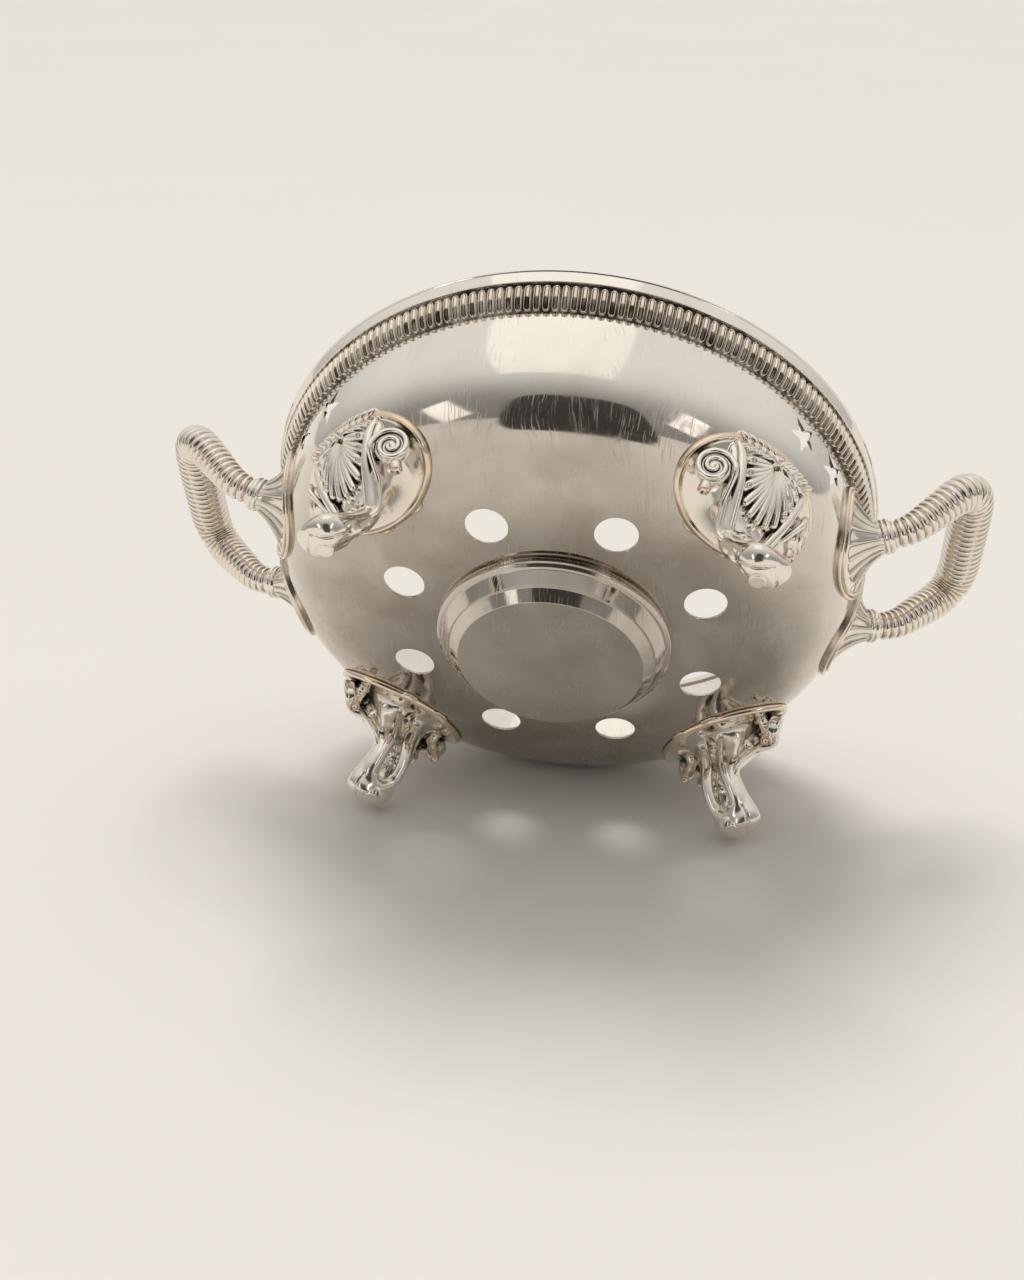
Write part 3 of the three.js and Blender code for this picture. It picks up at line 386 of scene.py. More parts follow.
def skin_height(radius, offset=0.0):
    reach = np.minimum(radius / (BOWL_RADIUS + offset), 1)
    return BOWL_SHOULDER_Z - (BOWL_DEPTH + offset) * (1 - reach ** BOWL_ROUNDNESS) ** (1 / BOWL_ROUNDNESS)


def skin_radius(z, offset=0.0):
    depth = np.clip((BOWL_SHOULDER_Z - z) / (BOWL_DEPTH + offset), 0, 1)
    return (BOWL_RADIUS + offset) * (1 - depth ** BOWL_ROUNDNESS) ** (1 / BOWL_ROUNDNESS)


def skin_normal(points, offset=0.0):
    """Outward directions of the bowl's skin at points on it."""
    across = np.hypot(points[:, 0], points[:, 1])
    wide, deep = BOWL_RADIUS + offset, BOWL_DEPTH + offset
    out = (across / wide) ** (BOWL_ROUNDNESS - 1) / wide
    down = (np.maximum(BOWL_SHOULDER_Z - points[:, 2], 0) / deep) ** (BOWL_ROUNDNESS - 1) / deep
    side = points[:, :2] / np.maximum(across, 1e-9)[:, None]
    return unit(np.column_stack([side * out[:, None], -down]))


def skin_curve(start, offset, steps):
    """Radius and height of points down the bowl's skin, from the start radius to the shoulder."""
    wide = BOWL_RADIUS + offset
    first = math.asin((start / wide) ** (BOWL_ROUNDNESS / 2))
    angle = np.linspace(first, math.pi / 2, steps + 1)
    radius = wide * np.sin(angle) ** (2 / BOWL_ROUNDNESS)
    return np.column_stack([radius, skin_height(radius, offset)])


def prism(outline, profile):
    """A closed body: the outline scaled by each (scale, height) of the profile."""
    rings = [np.column_stack([outline * scale, np.full(len(outline), height)]) for scale, height in profile]
    points = np.concatenate(rings)
    count = len(outline)
    faces = grid_faces(len(rings), count).tolist()
    faces.append(list(range(count))[::-1])
    faces.append(list(range(len(points) - count, len(points))))
    return points, faces


VENT_EDGE = 0.22
STAR_EDGE = 1.03


def bowl_cutters():
    """Draught holes and stars as one set of bodies, each a little wider at the metal's two faces."""
    bodies = []
    ring = np.arange(96) * TURN / 96
    circle = np.column_stack([np.cos(ring), np.sin(ring)]) * VENT_RADIUS
    grow, far = 1 + VENT_EDGE / VENT_RADIUS, 1 + 6 / VENT_RADIUS
    hole = [(far, -6 - BOWL_WALL), (grow, -BOWL_WALL), (1, VENT_EDGE - BOWL_WALL), (1, -VENT_EDGE), (grow, 0),
            (far, 6)]
    base = np.array([[VENT_RING_RADIUS, 0.0, float(skin_height(VENT_RING_RADIUS))]])
    tilt = Vector(skin_normal(base)[0]).to_track_quat("Z", "X").to_matrix().to_4x4()
    for k in range(8):
        spin = Matrix.Rotation(TURN * (k + 0.5) / 8, 4, "Z")
        bodies.append((circle, hole, spin @ Matrix.Translation(base[0]) @ tilt))
    point = -math.pi / 2 + TURN * np.arange(10) / 10
    radius = np.where(np.arange(10) % 2, STAR_WAIST_RADIUS, STAR_RADIUS)
    star = np.column_stack([radius * np.cos(point), radius * np.sin(point)])
    punch = [(STAR_EDGE, -9), (STAR_EDGE, -2), (1, -1), (1, -0.12), (STAR_EDGE, 0.15), (STAR_EDGE, 9)]
    stand = Matrix(((0, 0, 1, 0), (1, 0, 0, 0), (0, 1, 0, 0), (0, 0, 0, 1)))
    place = Matrix.Translation((float(skin_radius(STAR_CENTRE_Z)), 0, STAR_CENTRE_Z))
    for angle in STAR_ANGLES:
        for turn in (angle, -angle, 180 - angle, 180 + angle):
            bodies.append((star, punch, Matrix.Rotation(math.radians(turn), 4, "Z") @ place @ stand))
    all_points, all_faces = [], []
    for outline, profile, place in bodies:
        points, faces = prism(outline, profile)
        start = len(all_points)
        all_points += [tuple(place @ Vector(p) * MM) for p in points]
        all_faces += [[start + k for k in face] for face in faces]
    mesh = bpy.data.meshes.new("cutters")
    mesh.from_pydata(all_points, [], all_faces)
    return bpy.data.objects.new("cutters", mesh)


def make_bowl():
    sides = 288
    outer = skin_curve(WELL_MOUTH_RADIUS, 0.0, 60)
    inner = skin_curve(WELL_MOUTH_RADIUS, -BOWL_WALL, 50)[::-1]
    top = np.array([[BOWL_RADIUS, BOWL_TOP_Z], [BOWL_RADIUS - BOWL_WALL, BOWL_TOP_Z]])
    line = np.concatenate([outer, top, inner])
    tangents = unit(np.gradient(line, axis=0))
    points, faces, _ = revolved(line, tangents, sides, closed=True)
    mesh = bpy.data.meshes.new("bowl_blank")
    mesh.from_pydata((points * MM).tolist(), [], faces)
    blank = bpy.data.objects.new("bowl_blank", mesh)
    cutters = bowl_cutters()
    for helper in (blank, cutters):
        bpy.context.collection.objects.link(helper)
    cut = blank.modifiers.new("cut", "BOOLEAN")
    cut.operation, cut.solver, cut.object = "DIFFERENCE", "EXACT", cutters
    bpy.context.view_layer.update()
    mesh = bpy.data.meshes.new_from_object(blank.evaluated_get(bpy.context.evaluated_depsgraph_get()))
    for helper in (blank, cutters):
        bpy.data.objects.remove(helper)
    mesh.name = "bowl_skin"
    count = len(mesh.vertices)
    where = np.empty(count * 3)
    mesh.vertices.foreach_get("co", where)
    where = where.reshape(-1, 3) / MM
    outward, inward = skin_normal(where), -skin_normal(where, -BOWL_WALL)
    loops = np.empty(len(mesh.loops), dtype=np.int64)
    mesh.loops.foreach_get("vertex_index", loops)
    starts = np.empty(len(mesh.polygons), dtype=np.int64)
    mesh.polygons.foreach_get("loop_start", starts)
    totals = np.diff(np.append(starts, len(loops)))
    face = np.empty(len(mesh.polygons) * 3)
    mesh.polygons.foreach_get("normal", face)
    face = np.repeat(face.reshape(-1, 3), totals, axis=0)
    normals = face.copy()
    for skin in (outward, inward):
        mine = (skin[loops] * face).sum(-1) > 0.9
        normals[mine] = skin[loops][mine]
    mesh.polygons.foreach_set("use_smooth", [True] * len(mesh.polygons))
    mesh.normals_split_custom_set(normals.tolist())
    mesh.materials.clear()
    add_mesh("bowl_skin", mesh, PLATE, "warmer", ["bowl"])


# Rim and gadroon border

def make_rim():
    corners = [
        (115.9, 98.7, 0.2), (122.2, 98.7, 0.1), (122.25, 97.2, 0.1), (124.0, 96.95, 0.3), (124.55, 99.4, 4.0),
        (124.85, 101.35, 0.5), (125.0, 101.5, 0.1), (125.35, 101.75, 0.22), (125.35, 102.2, 0.18),
        (125.05, 102.4, 0.2), (118.2, 102.4, 0.5), (115.9, 101.2, 0.4),
    ]  # radius, height, rounding
    sides = 360
    add_turned("rim_moulding", corners, sides, SMOOTH, "warmer", ["rim_band"], "silver_plate", closed=True)


REED_STATIONS = (0.18, 0.4, 0.56, 0.67, 0.73, 0.79, 0.87, 0.97, 1.08, 1.18, 1.28, 1.4, 1.5, 1.58, 1.66)
TONGUE_HALF = 0.77  # half width of a reed's tongue
OUTLINE_AT = 1.05  # from the tongue's middle line to the thin outline round it
REED_HALF = 1.66  # half the space of one reed
REED_END = 1.85  # from a tongue's round end to the border's edge
BORDER_RADIUS = 121.5


def reed_relief(distance):
    """Height of a reed over the border's ground, by the distance from its middle line: a tongue, a thin
    outline round it, and a slope to the gap."""
    tongue = 1.35 * np.sqrt(np.clip(1 - (distance / TONGUE_HALF) ** 2, 0, 1))
    outline = 1.2 * np.sqrt(np.clip(1 - ((distance - OUTLINE_AT) / 0.27) ** 2, 0, 1))
    slope = 0.8 * np.clip((REED_HALF - distance) / 0.45, 0, 1) ** 0.7 * (distance > OUTLINE_AT)
    ground = 0.35 * np.clip((1.727 - distance) / 0.3, 0, 1)
    return np.maximum(np.maximum(tongue, outline), np.maximum(slope, ground))


def make_gadroon():
    """Reeds on a quarter-round that flares from the bowl to the rim."""
    along = 40
    share = np.linspace(0, 1, 200)
    profile = np.column_stack([118.35 + 3.95 * (1 - (1 - share) ** 2.2), 86.2 + 10.1 * share ** 1.15])
    profile = spaced(profile, along)
    rise = unit(np.gradient(profile, axis=0))
    out = np.column_stack([rise[:, 1], -rise[:, 0]])
    length = float(np.linalg.norm(np.diff(profile, axis=0), axis=1).sum())
    y = np.linspace(0, length, along)
    half = np.array(REED_STATIONS)
    x = np.concatenate([-half[::-1], [0], half])
    beyond = np.maximum(np.maximum(REED_END - y, y - length + REED_END), 0)
    distance = np.hypot(np.abs(x)[None, :], beyond[:, None])
    relief = reed_relief(distance) * np.clip(np.minimum(y, length - y) / 0.4, 0, 1)[:, None] ** 0.5
    inside = np.clip((TONGUE_HALF - distance) / 0.1, 0, 1)
    # Painted shade: the lower half of each tongue darkens, and the groove round it and the gaps between the
    # reeds darken as patina and painted shade
    shade = inside * np.clip((0.52 * length - y) / 0.6, 0, 1)[:, None]
    brown = 0.4 * np.clip((distance - 1.24) / 0.1, 0, 1) + 0.9 * np.clip((distance - 1.54) / 0.1, 0, 1)
    cavity = np.clip(shade + brown + 0.9 * np.exp(-((distance - 0.78) / 0.06) ** 2), 0, 1)
    wear = 0.4 * np.exp(-((distance - OUTLINE_AT) / 0.2) ** 2)
    close = np.array([(121.9, 96.6), (121.3, 97.2), (121.2, 98.7)])  # back up behind the rim
    flat = np.ones((len(close), len(x)))
    radius = np.concatenate([profile[:, :1] + out[:, :1] * relief, close[:, :1] * flat])
    z = np.concatenate([profile[:, 1:] + out[:, 1:] * relief, close[:, 1:] * flat])
    cavity, wear = np.concatenate([cavity, flat]), np.concatenate([wear, 0 * flat])
    angle = (np.arange(REED_COUNT)[:, None] * TURN / REED_COUNT + x[None, :] / BORDER_RADIUS).ravel()
    radius, z, cavity, wear = (np.tile(values, (1, REED_COUNT)) for values in (radius, z, cavity, wear))
    grid = np.stack([radius * np.cos(angle), radius * np.sin(angle), z], -1)
    outward = np.stack([np.cos(angle), np.sin(angle), 0 * angle], -1)
    add_grid("gadroon_reeds", grid, grid_normals(grid, outward), CAST, "warmer", ["gadroon_border"],
             "silver_casting", cavity=cavity, wear=wear, copper=0 * wear)


# Burner well under the bowl

def make_well():
    corners = [
        (0, 18.4, 0), (36.4, 18.4, 0.5), (40.2, 22.4, 0.35), (41.0, 22.55, 0.12), (41.35, 23.2, 0.25),
        (44.2, 28.0, 0.6), (45.2, 28.3, 0.3), (46.7, 29.5, 1.6), (46.6, 31.9, 1.5), (45.2, 33.2, 0.4),
        (43.4, 33.2, 0.3), (42.6, 27.6, 0.6), (40.2, 23.6, 0.5), (35.8, 19.5, 0.6), (0, 19.5, 0),
    ]
    sides = 240
    add_turned("well_cup", corners, sides, UNDER, "warmer", ["burner_well"], "silver_plate")


# Spirit burner, seen from above through the bowl's mouth: lamp body, wick, snuffer and bail

def swept_box(route, half_width, half_height, bevel=0.25):
    """A flat bar with eased edges along a route in the XZ plane."""
    route = np.asarray(route, float)
    corners = rounded_line([(-half_width, -half_height, bevel), (half_width, -half_height, bevel),
                            (half_width, half_height, bevel), (-half_width, half_height, bevel)], True, 3)[0]
    tangent = unit(np.gradient(route, axis=0))
    rise = np.stack([-tangent[:, 2], 0 * tangent[:, 0], tangent[:, 0]], 1)
    rings = route[:, None] + corners[None, :, 1:] * rise[:, None]
    rings[..., 1] += corners[:, 0]
    rows, columns = rings.shape[:2]
    faces = grid_faces(rows, columns).tolist()
    faces += [list(range(columns))[::-1], [(rows - 1) * columns + k for k in range(columns)]]
    return rings.reshape(-1, 3), faces


BAIL_RADIUS = 1.05
BAIL_SIDE = 8
ON_HINGE = Matrix.Translation(Vector((HINGE_X, 0, HINGE_Z)) * MM) @ Matrix.Rotation(math.pi / 2, 4, "X")


def shoulder_z(x, y):
    """Height of the bail's middle line where it lies on the lamp body's sloping shoulder."""
    return 36.15 - 2.2 / 18.2 * (math.hypot(x, y) - 12.5) + BAIL_RADIUS + 0.05


def make_lamp(sides):
    add_turned("lamp_body", [
        (0, 19.8, 0), (30.4, 19.8, 0.6), (31.4, 20.5, 0.4), (32.9, 22.2, 1.4), (32.9, 32.2, 1.6),
        (31.6, 33.6, 0.3), (31.0, 34.5, 0.8), (13.4, 36.7, 0.7), (12.9, 37.2, 0.4), (12.5, 39.6, 0.3),
        (12.2, 39.95, 0.15), (8.2, 39.95, 0.2), (8.0, 36.4, 0.3), (12.0, 35.7, 0.5), (29.8, 33.6, 0.8),
        (31.8, 31.8, 1.2), (31.8, 22.6, 1.2), (30.2, 20.9, 0.6), (0, 20.9, 0),
    ], sides, PLATE, "burner", ["burner_reservoir"], "silver_plate")
    tube = [(5.6, 34.3, 0.2), (5.6, 40.25, 0.2), (11.9, 40.25, 0.3), (12.5, 40.7, 0.35), (12.5, 41.5, 0.3),
            (12.1, 41.9, 0.3), (9.0, 41.9, 0.3), (8.7, 41.65, 0.2), (8.3, 41.9, 0.2), (6.4, 42.1, 0.5)]
    for k in range(6):
        z = 43.6 + 0.9 * k
        tube += [(5.62, z, 0.1), (5.4, z + 0.22, 0.08), (5.62, z + 0.45, 0.1)]
    tube += [(5.6, 53.6, 0.1), (5.75, 53.8, 0.1), (5.75, 54.7, 0.2), (5.4, 54.9, 0.15), (4.6, 54.9, 0.15),
             (4.5, 54.5, 0.1), (4.5, 34.3, 0.1)]
    add_turned("wick_tube", tube, sides, BRASS, "burner", ["wick_holder"], "burner_brass", closed=True,
               steps=3)


def make_wick():
    """Plaited wick: strands that wind both ways, with a frayed, uneven top."""
    rows, columns = ((220, 96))
    height = np.linspace(21.1, 57.0, rows)[:, None]
    angle = np.linspace(0, TURN, columns, endpoint=False)[None, :]
    strand = np.cos(8 * angle + height * 1.5) * np.cos(8 * angle - height * 1.5)
    radius = 3.95 + 0.22 * strand - 0.5 * np.clip((height - 55.6) / 1.4, 0, 1) ** 2
    ragged = 0.22 * np.sin(7 * angle + 1) + 0.18 * np.sin(11 * angle + 2.2)
    top = height + ragged * np.clip((height - 53) / 4, 0, 1)
    grid = np.stack([radius * np.cos(angle), radius * np.sin(angle), top], -1)
    cap = [grid[-1] * [s, s, 1] + [0, 0, 0.12 * math.sin(9 * s)] for s in (0.85, 0.6, 0.35, 0.12)]
    grid = np.concatenate([[grid[0] * [0.02, 0.02, 1]], grid, cap])
    normals = grid_normals(grid, grid * [1, 1, 0])
    add_grid("wick_plait", grid, normals, COTTON, "burner", ["wick"], "wick_cotton")


def make_bail():
    """Bail of bent wire on the lamp body's shoulder, with a ball of solder at each end."""
    ends = [(17.7, -BAIL_SIDE, shoulder_z(17.7, BAIL_SIDE)), (22.7, -BAIL_SIDE, shoulder_z(22.7, BAIL_SIDE)),
            (22.7, -BAIL_SIDE, 44.75)]
    corners = np.array(ends + [(x, -y, z) for x, y, z in ends[::-1]])
    route = spaced(rounded_route(corners, [2.2, 4.4, 4.4, 2.2]), 160)
    run = np.concatenate([[0], np.cumsum(np.linalg.norm(np.diff(route, axis=0), axis=1))])
    near_end = np.minimum(run, run[-1] - run) / BAIL_RADIUS
    radius = BAIL_RADIUS * np.sqrt(np.maximum(1 - np.maximum(1 - near_end, 0) ** 2, 0.0004))
    wire, normals = swept(route, radius, 32)
    add_grid("bail_wire", wire, normals, BRASS, "burner", ["burner_bail"], "burner_brass")


def make_snuffer(sides):
    """Spun cup with a bead at its mouth, strap and eye, and a turned knob."""
    add_turned("snuffer_cup", [
        (0, 59.58, 0), (4.4, 59.5, 1.2), (7.35, 57.6, 1.4), (7.55, 50.2, 0.3), (7.78, 49.9, 0.2),
        (7.78, 48.9, 0.3), (7.5, 48.45, 0.2), (6.95, 48.45, 0.2), (6.75, 48.9, 0.2), (6.7, 56.9, 1.0),
        (4.2, 58.7, 0.8), (0, 58.75, 0),
    ], sides, BRASS, "snuffer", ["snuffer_cap"], "burner_brass")
    strap = [(HINGE_X + 1.25 + 0.135 * k, 0, HINGE_Z + 0.75) for k in range(21)]  # clear of the pin
    points, faces = swept_box(strap, 1.75, 0.75)
    add_piece("snuffer_strap", points, faces, BRASS, "snuffer", slot="burner_brass").data.shade_flat()
    eye = [(1.15, -1.75, 0.15), (2.05, -1.75, 0.25), (2.05, 1.75, 0.25), (1.15, 1.75, 0.15)]
    ring = add_turned("snuffer_eye", eye, 40, BRASS, "snuffer", slot="burner_brass", closed=True, steps=3)
    ring.matrix_world = ON_HINGE
    add_turned("snuffer_finial", [
        (0, 59.9, 0), (1.5, 59.9, 0.2), (1.55, 60.3, 0.2), (1.05, 61.0, 0.5), (1.5, 61.7, 0.3),
        (2.66, 62.6, 0.6), (2.66, 63.3, 0.7), (1.9, 64.3, 0.8), (0, 64.68, 0),
    ], 48, BRASS, "snuffer", ["snuffer_knob"], "burner_brass")


def make_hinge():
    """Two cheeks with rounded heads on a plate, and the pin with its heads."""
    reach, foot = 2.05, 43.4
    base = [(HINGE_X - reach + 0.365 * k, 0, 42.9) for k in range(21)]
    points, faces = swept_box(base, 3.45, 0.68)
    plate = add_piece("hinge_plate", points, faces, BRASS, "burner", ["hinge_bracket"], slot="burner_brass")
    plate.data.shade_flat()
    head = [(HINGE_X + reach * math.cos(a), HINGE_Z + reach * math.sin(a))
            for a in np.linspace(0.12, math.pi - 0.12, 24)]
    outline = [(HINGE_X + reach, foot), (HINGE_X + reach, HINGE_Z), *head,
               (HINGE_X - reach, HINGE_Z), (HINGE_X - reach, foot)]
    count = len(outline)
    for name, side in (("front", -1), ("back", 1)):
        points = [(x, side * y, z) for y in (2.12, 3.48) for x, z in outline]
        faces = [[k, (k + 1) % count, count + (k + 1) % count, count + k] for k in range(count)]
        faces += [list(range(count))[::-1], list(range(count, 2 * count))]
        if side < 0:
            faces = [face[::-1] for face in faces]
        cheek = add_piece(f"hinge_cheek_{name}", points, faces, BRASS, "burner", slot="burner_brass")
        cheek.data.shade_flat()
    pin = [(0, -4.2, 0), (0.95, -4.2, 0.2), (1.5, -4.0, 0.2), (1.5, -3.55, 0.1), (0.88, -3.5, 0.05)]
    pin += [(radius, -z, rounding) for radius, z, rounding in pin[::-1]]
    rivet = add_turned("hinge_rivet", pin, 32, BRASS, "burner", ["hinge_pin"], "burner_brass", steps=3)
    rivet.matrix_world = ON_HINGE


def make_burner():
    sides = 128
    make_lamp(sides)
    make_wick()
    make_bail()
    make_snuffer(sides)
    make_hinge()


# Handles, sockets and collars

def spaced(route, count):
    """The same route with evenly spaced points."""
    lengths = np.concatenate([[0], np.cumsum(np.linalg.norm(np.diff(route, axis=0), axis=1))])
    at = np.linspace(0, lengths[-1], count)
    return np.stack([np.interp(at, lengths, route[:, k]) for k in range(route.shape[1])], -1)


def rounded_route(corners, rounds, steps=24):
    """Straight runs with each corner turned into a quadratic curve."""
    route = [corners[0]]
    for k in range(1, len(corners) - 1):
        start = corners[k] + unit(corners[k - 1] - corners[k]) * rounds[k - 1]
        end = corners[k] + unit(corners[k + 1] - corners[k]) * rounds[k - 1]
        for t in np.linspace(0, 1, steps):
            route.append((1 - t) ** 2 * start + 2 * t * (1 - t) * corners[k] + t * t * end)
    route.append(corners[-1])
    return np.array(route)


def handle_route(count):
    """Middle line of the right handle, from its front collar to its back one."""
    out = np.array([
        math.cos(SOCKET_RISE) * math.cos(SOCKET_ANGLE),
        -math.cos(SOCKET_RISE) * math.sin(SOCKET_ANGLE),
        math.sin(SOCKET_RISE),
    ])
    reach = BOWL_RADIUS + SOCKET_REACH
    collar = np.array([reach * math.cos(SOCKET_ANGLE), -SOCKET_HALF_SPAN, SOCKET_Z])
    start = collar + out * (COLLAR_LENGTH / 2 - 0.6)
    lead = collar + out * (COLLAR_LENGTH / 2 + 0.3 + HANDLE_LEAD)
    corner = np.array([BOWL_RADIUS + HANDLE_REACH, -HANDLE_CORNER_HALF_SPAN, HANDLE_TOP_Z])
    near = [start, lead, corner]
    far = [p * [1, -1, 1] for p in near][::-1]
    rounds = [HANDLE_LEAD * 0.8, HANDLE_CORNER_ROUND, HANDLE_CORNER_ROUND, HANDLE_LEAD * 0.8]
    return spaced(rounded_route(near + far, rounds), count)


def tube_frames(points):
    """Directions across a route that turn with it as little as they can."""
    tangents = unit(np.gradient(points, axis=0))
    first = np.empty_like(points)
    guide = np.cross(tangents[0], [0.3, 0.2, 1.0])
    for k, tangent in enumerate(tangents):
        guide = unit(guide - tangent * (guide @ tangent))
        first[k] = guide
    return first, np.cross(tangents, first)


def swept(points, radius, sides):
    """A round tube along a route, with a radius at each point: its grid and normals."""
    first, second = tube_frames(points)
    angle = np.arange(sides) * TURN / sides
    ring = first[:, None] * np.cos(angle)[None, :, None] + second[:, None] * np.sin(angle)[None, :, None]
    grid = points[:, None] + ring * radius[:, None, None]
    return grid, grid_normals(grid, ring)


HANDLE_END_RADIUS = 5.4
HANDLE_GRIP_RADIUS = 8.45
HANDLE_GROOVE = 1.35


def make_handles():
    steps, sides = ((16, 48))
    count = HANDLE_RING_COUNT * steps + 1
    along = np.linspace(0, 1, count)
    crest = HANDLE_END_RADIUS + (HANDLE_GRIP_RADIUS - HANDLE_END_RADIUS) * np.sin(np.pi * along) ** 0.85
    phase = (along * HANDLE_RING_COUNT) % 1 * 2 - 1
    scallop = (np.sqrt(1 - (0.985 * phase) ** 2) - 0.17) / 0.83
    grid, normals = swept(handle_route(count), crest - HANDLE_GROOVE * (1 - scallop), sides)
    # Painted shade with patina in the grooves between the rings
    cavity = np.repeat(np.clip(1 - scallop * 2.1, 0, 1) ** 0.9, sides)
    wear = np.repeat(np.clip((scallop - 0.25) * 0.5, 0, 0.16), sides)
    for side, turn in (("right", 0), ("left", math.pi)):
        add_grid(f"handle_rings_{side}", grid, normals, CAST, "warmer", [f"handle_{side}"], "silver_casting",
                 spin_about_z(turn), cavity=cavity, wear=wear, copper=0 * wear)


def skin_place(side, rise, offset):
    """Places off the bowl's skin: side and rise are lengths along it from the socket's height."""
    z = np.full(np.shape(rise), SOCKET_Z, float)

    def slope_at(height):
        return skin_radius(height + 0.5) - skin_radius(height - 0.5)
    for _ in range(20):
        z = z + rise / 20 / np.hypot(1, slope_at(z))
    slope = slope_at(z)
    level = 1 / np.hypot(1, slope)
    radius = skin_radius(z) + offset * level
    angle = side / BOWL_RADIUS
    return np.stack([radius * np.cos(angle), radius * np.sin(angle), z - offset * slope * level], -1)


def make_sockets():
    """Fluted fan between the collar and a double bead that lies on the bowl, and the collar's beads."""
    columns, rows = ((264, 84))
    flutes, fan_reach = 16, 24.6
    phi = np.arange(columns) * TURN / columns
    axis = np.array([math.cos(SOCKET_RISE), 0, math.sin(SOCKET_RISE)])
    up = np.array([-math.sin(SOCKET_RISE), 0, math.cos(SOCKET_RISE)])
    side = np.array([0, 1, 0])
    collar = np.array([BOWL_RADIUS + SOCKET_REACH, 0, SOCKET_Z])
    end = collar - axis * (COLLAR_LENGTH / 2 - 0.2)
    neck = end + NECK_RADIUS * (np.cos(phi)[:, None] * side + np.sin(phi)[:, None] * up)
    lift = np.maximum(np.sin(phi), 1e-3)
    reach = np.where(np.sin(phi) > 0, (fan_reach ** -6 + (8.2 / lift) ** -6) ** (-1 / 6), fan_reach)

    def fan(inset, offset):
        radius = reach - inset
        return skin_place(radius * np.cos(phi), radius * np.sin(phi), offset)
    foot = fan(3.6, 1.1)
    near = np.minimum(1.5 * NECK_RADIUS, reach - 2.2)
    waist = skin_place(near * np.cos(phi), near * np.sin(phi), 3.0)
    t = np.linspace(0, 1, rows)[:, None, None]
    sheet = (1 - t) ** 2 * neck + 2 * t * (1 - t) * waist + t * t * foot
    out = grid_normals(sheet, axis)
    t = t[..., 0]
    step = np.abs(((phi / TURN * flutes + 0.25) % 1) * 2 - 1)[None, :]
    arch = 0.8 + 0.06 * np.sqrt(np.clip(1 - (1 - step) ** 2, 0, 1))
    rib = np.exp(-(step / 0.2) ** 2)
    ends = 1 / (1 + np.exp((t - arch) / 0.012))
    starts = np.clip(t / 0.12, 0, 1)
    hollow = (1 - rib) * np.clip(ends, 0, 1) * starts
    relief = 0.55 * rib * np.sin(np.pi * np.clip(t, 0.02, 0.98)) ** 0.4 - 0.75 * hollow * (0.5 + 0.5 * t)
    sheet = sheet + out * relief[..., None]
    # Painted shade with patina: the flute hollows, their flanks and the arch line darken
    cavity = hollow * np.clip(1.25 - step, 0, 1) * 0.25 + np.exp(-((step - 0.3) / 0.1) ** 2) * hollow * 0.75
    cavity = np.maximum(cavity, np.exp(-((t - arch) / 0.03) ** 2) * 0.4 * (1 - rib))
    beads, bead_cavity = [], []
    # Painted shade with patina where the beads' edges meet
    for middle, height, half in ((2.75, 2.1, 0.85), (1.0, 1.5, 0.95)):
        for a in np.linspace(-0.92, 0.92, 8):
            beads.append(fan(middle - a * half, 0.55 + height * math.sqrt(1 - a * a)))
            bead_cavity.append(np.full(columns, max(0.0, abs(a) - 0.7) * 2.6))
    beads.append(fan(0.05, -0.6))
    bead_cavity.append(np.zeros(columns))
    grid = np.concatenate([sheet, np.array(beads)])
    cavity = np.concatenate([np.broadcast_to(cavity, (rows, columns)), np.array(bead_cavity)])
    wear = np.zeros_like(cavity)
    wear[rows:] = 0.5
    wear[:rows] = 0.22 * rib
    normals = grid_normals(grid, axis)
    ring, tangents = rounded_line([
        (0, -2.1, 0), (6.4, -2.1, 0.3), (7.1, -1.2, 0.8), (6.9, -0.3, 0.5), (6.35, -0.1, 0.15),
        (6.9, 0.15, 0.5), (7.2, 1.1, 0.9), (6.5, 2.1, 0.5), (0, 2.1, 0),
    ])
    ring_points, ring_faces, ring_normals = revolved(ring, tangents, 64)
    tilt = np.array(Matrix.Rotation(math.pi / 2 - SOCKET_RISE, 3, "Y")).T
    ring_points, ring_normals = ring_points @ tilt + collar, ring_normals @ tilt
    for name, angle in (
        ("right_front", -SOCKET_ANGLE), ("right_back", SOCKET_ANGLE),
        ("left_front", math.pi + SOCKET_ANGLE), ("left_back", math.pi - SOCKET_ANGLE),
    ):
        spin = spin_about_z(angle)
        add_grid(f"socket_fan_{name}", grid, normals, CAST, "warmer", [f"socket_{name}"], "silver_casting",
                 spin, cavity=cavity, wear=wear, copper=0 * wear)
        add_piece(f"collar_beads_{name}", ring_points @ spin, ring_faces, SMOOTH, "warmer",
                  [f"collar_{name}"], ring_normals @ spin, "silver_casting")


# Feet: one casting worked out as a distance field in its own frame (u out from the bowl's axis, v to the
# side, z up), then turned to the four corners

class Field:
    """A distance field on a half grid, v from zero up; the other half is its mirror image."""

    def __init__(self, step):
        self.step = step
        self.u = np.arange(73.0, 122.0, step, dtype=np.float32)
        self.v = np.arange(0.0, 35.0, step, dtype=np.float32)
        self.z = np.arange(-1.2, 65.0, step, dtype=np.float32)
        self.grid = np.meshgrid(self.u, self.v, self.z, indexing="ij", sparse=True)
        self.value = None

    def window(self, low, high):
        spans = []
        for axis, a, b in zip((self.u, self.v, self.z), low, high):
            first = max(int((a - axis[0]) / self.step) - 1, 0)
            last = min(int((b - axis[0]) / self.step) + 3, len(axis))
            if last <= first:
                return None
            spans.append(slice(first, last))
        return tuple(spans)

    def near(self, spans):
        return np.ix_(self.u[spans[0]], self.v[spans[1]], self.z[spans[2]])


def soft_min(a, b, k):
    h = np.clip(0.5 + 0.5 * (b - a) / k, 0, 1)
    return b + (a - b) * h - k * h * (1 - h)


def soft_max(a, b, k):
    return -soft_min(-a, -b, k)


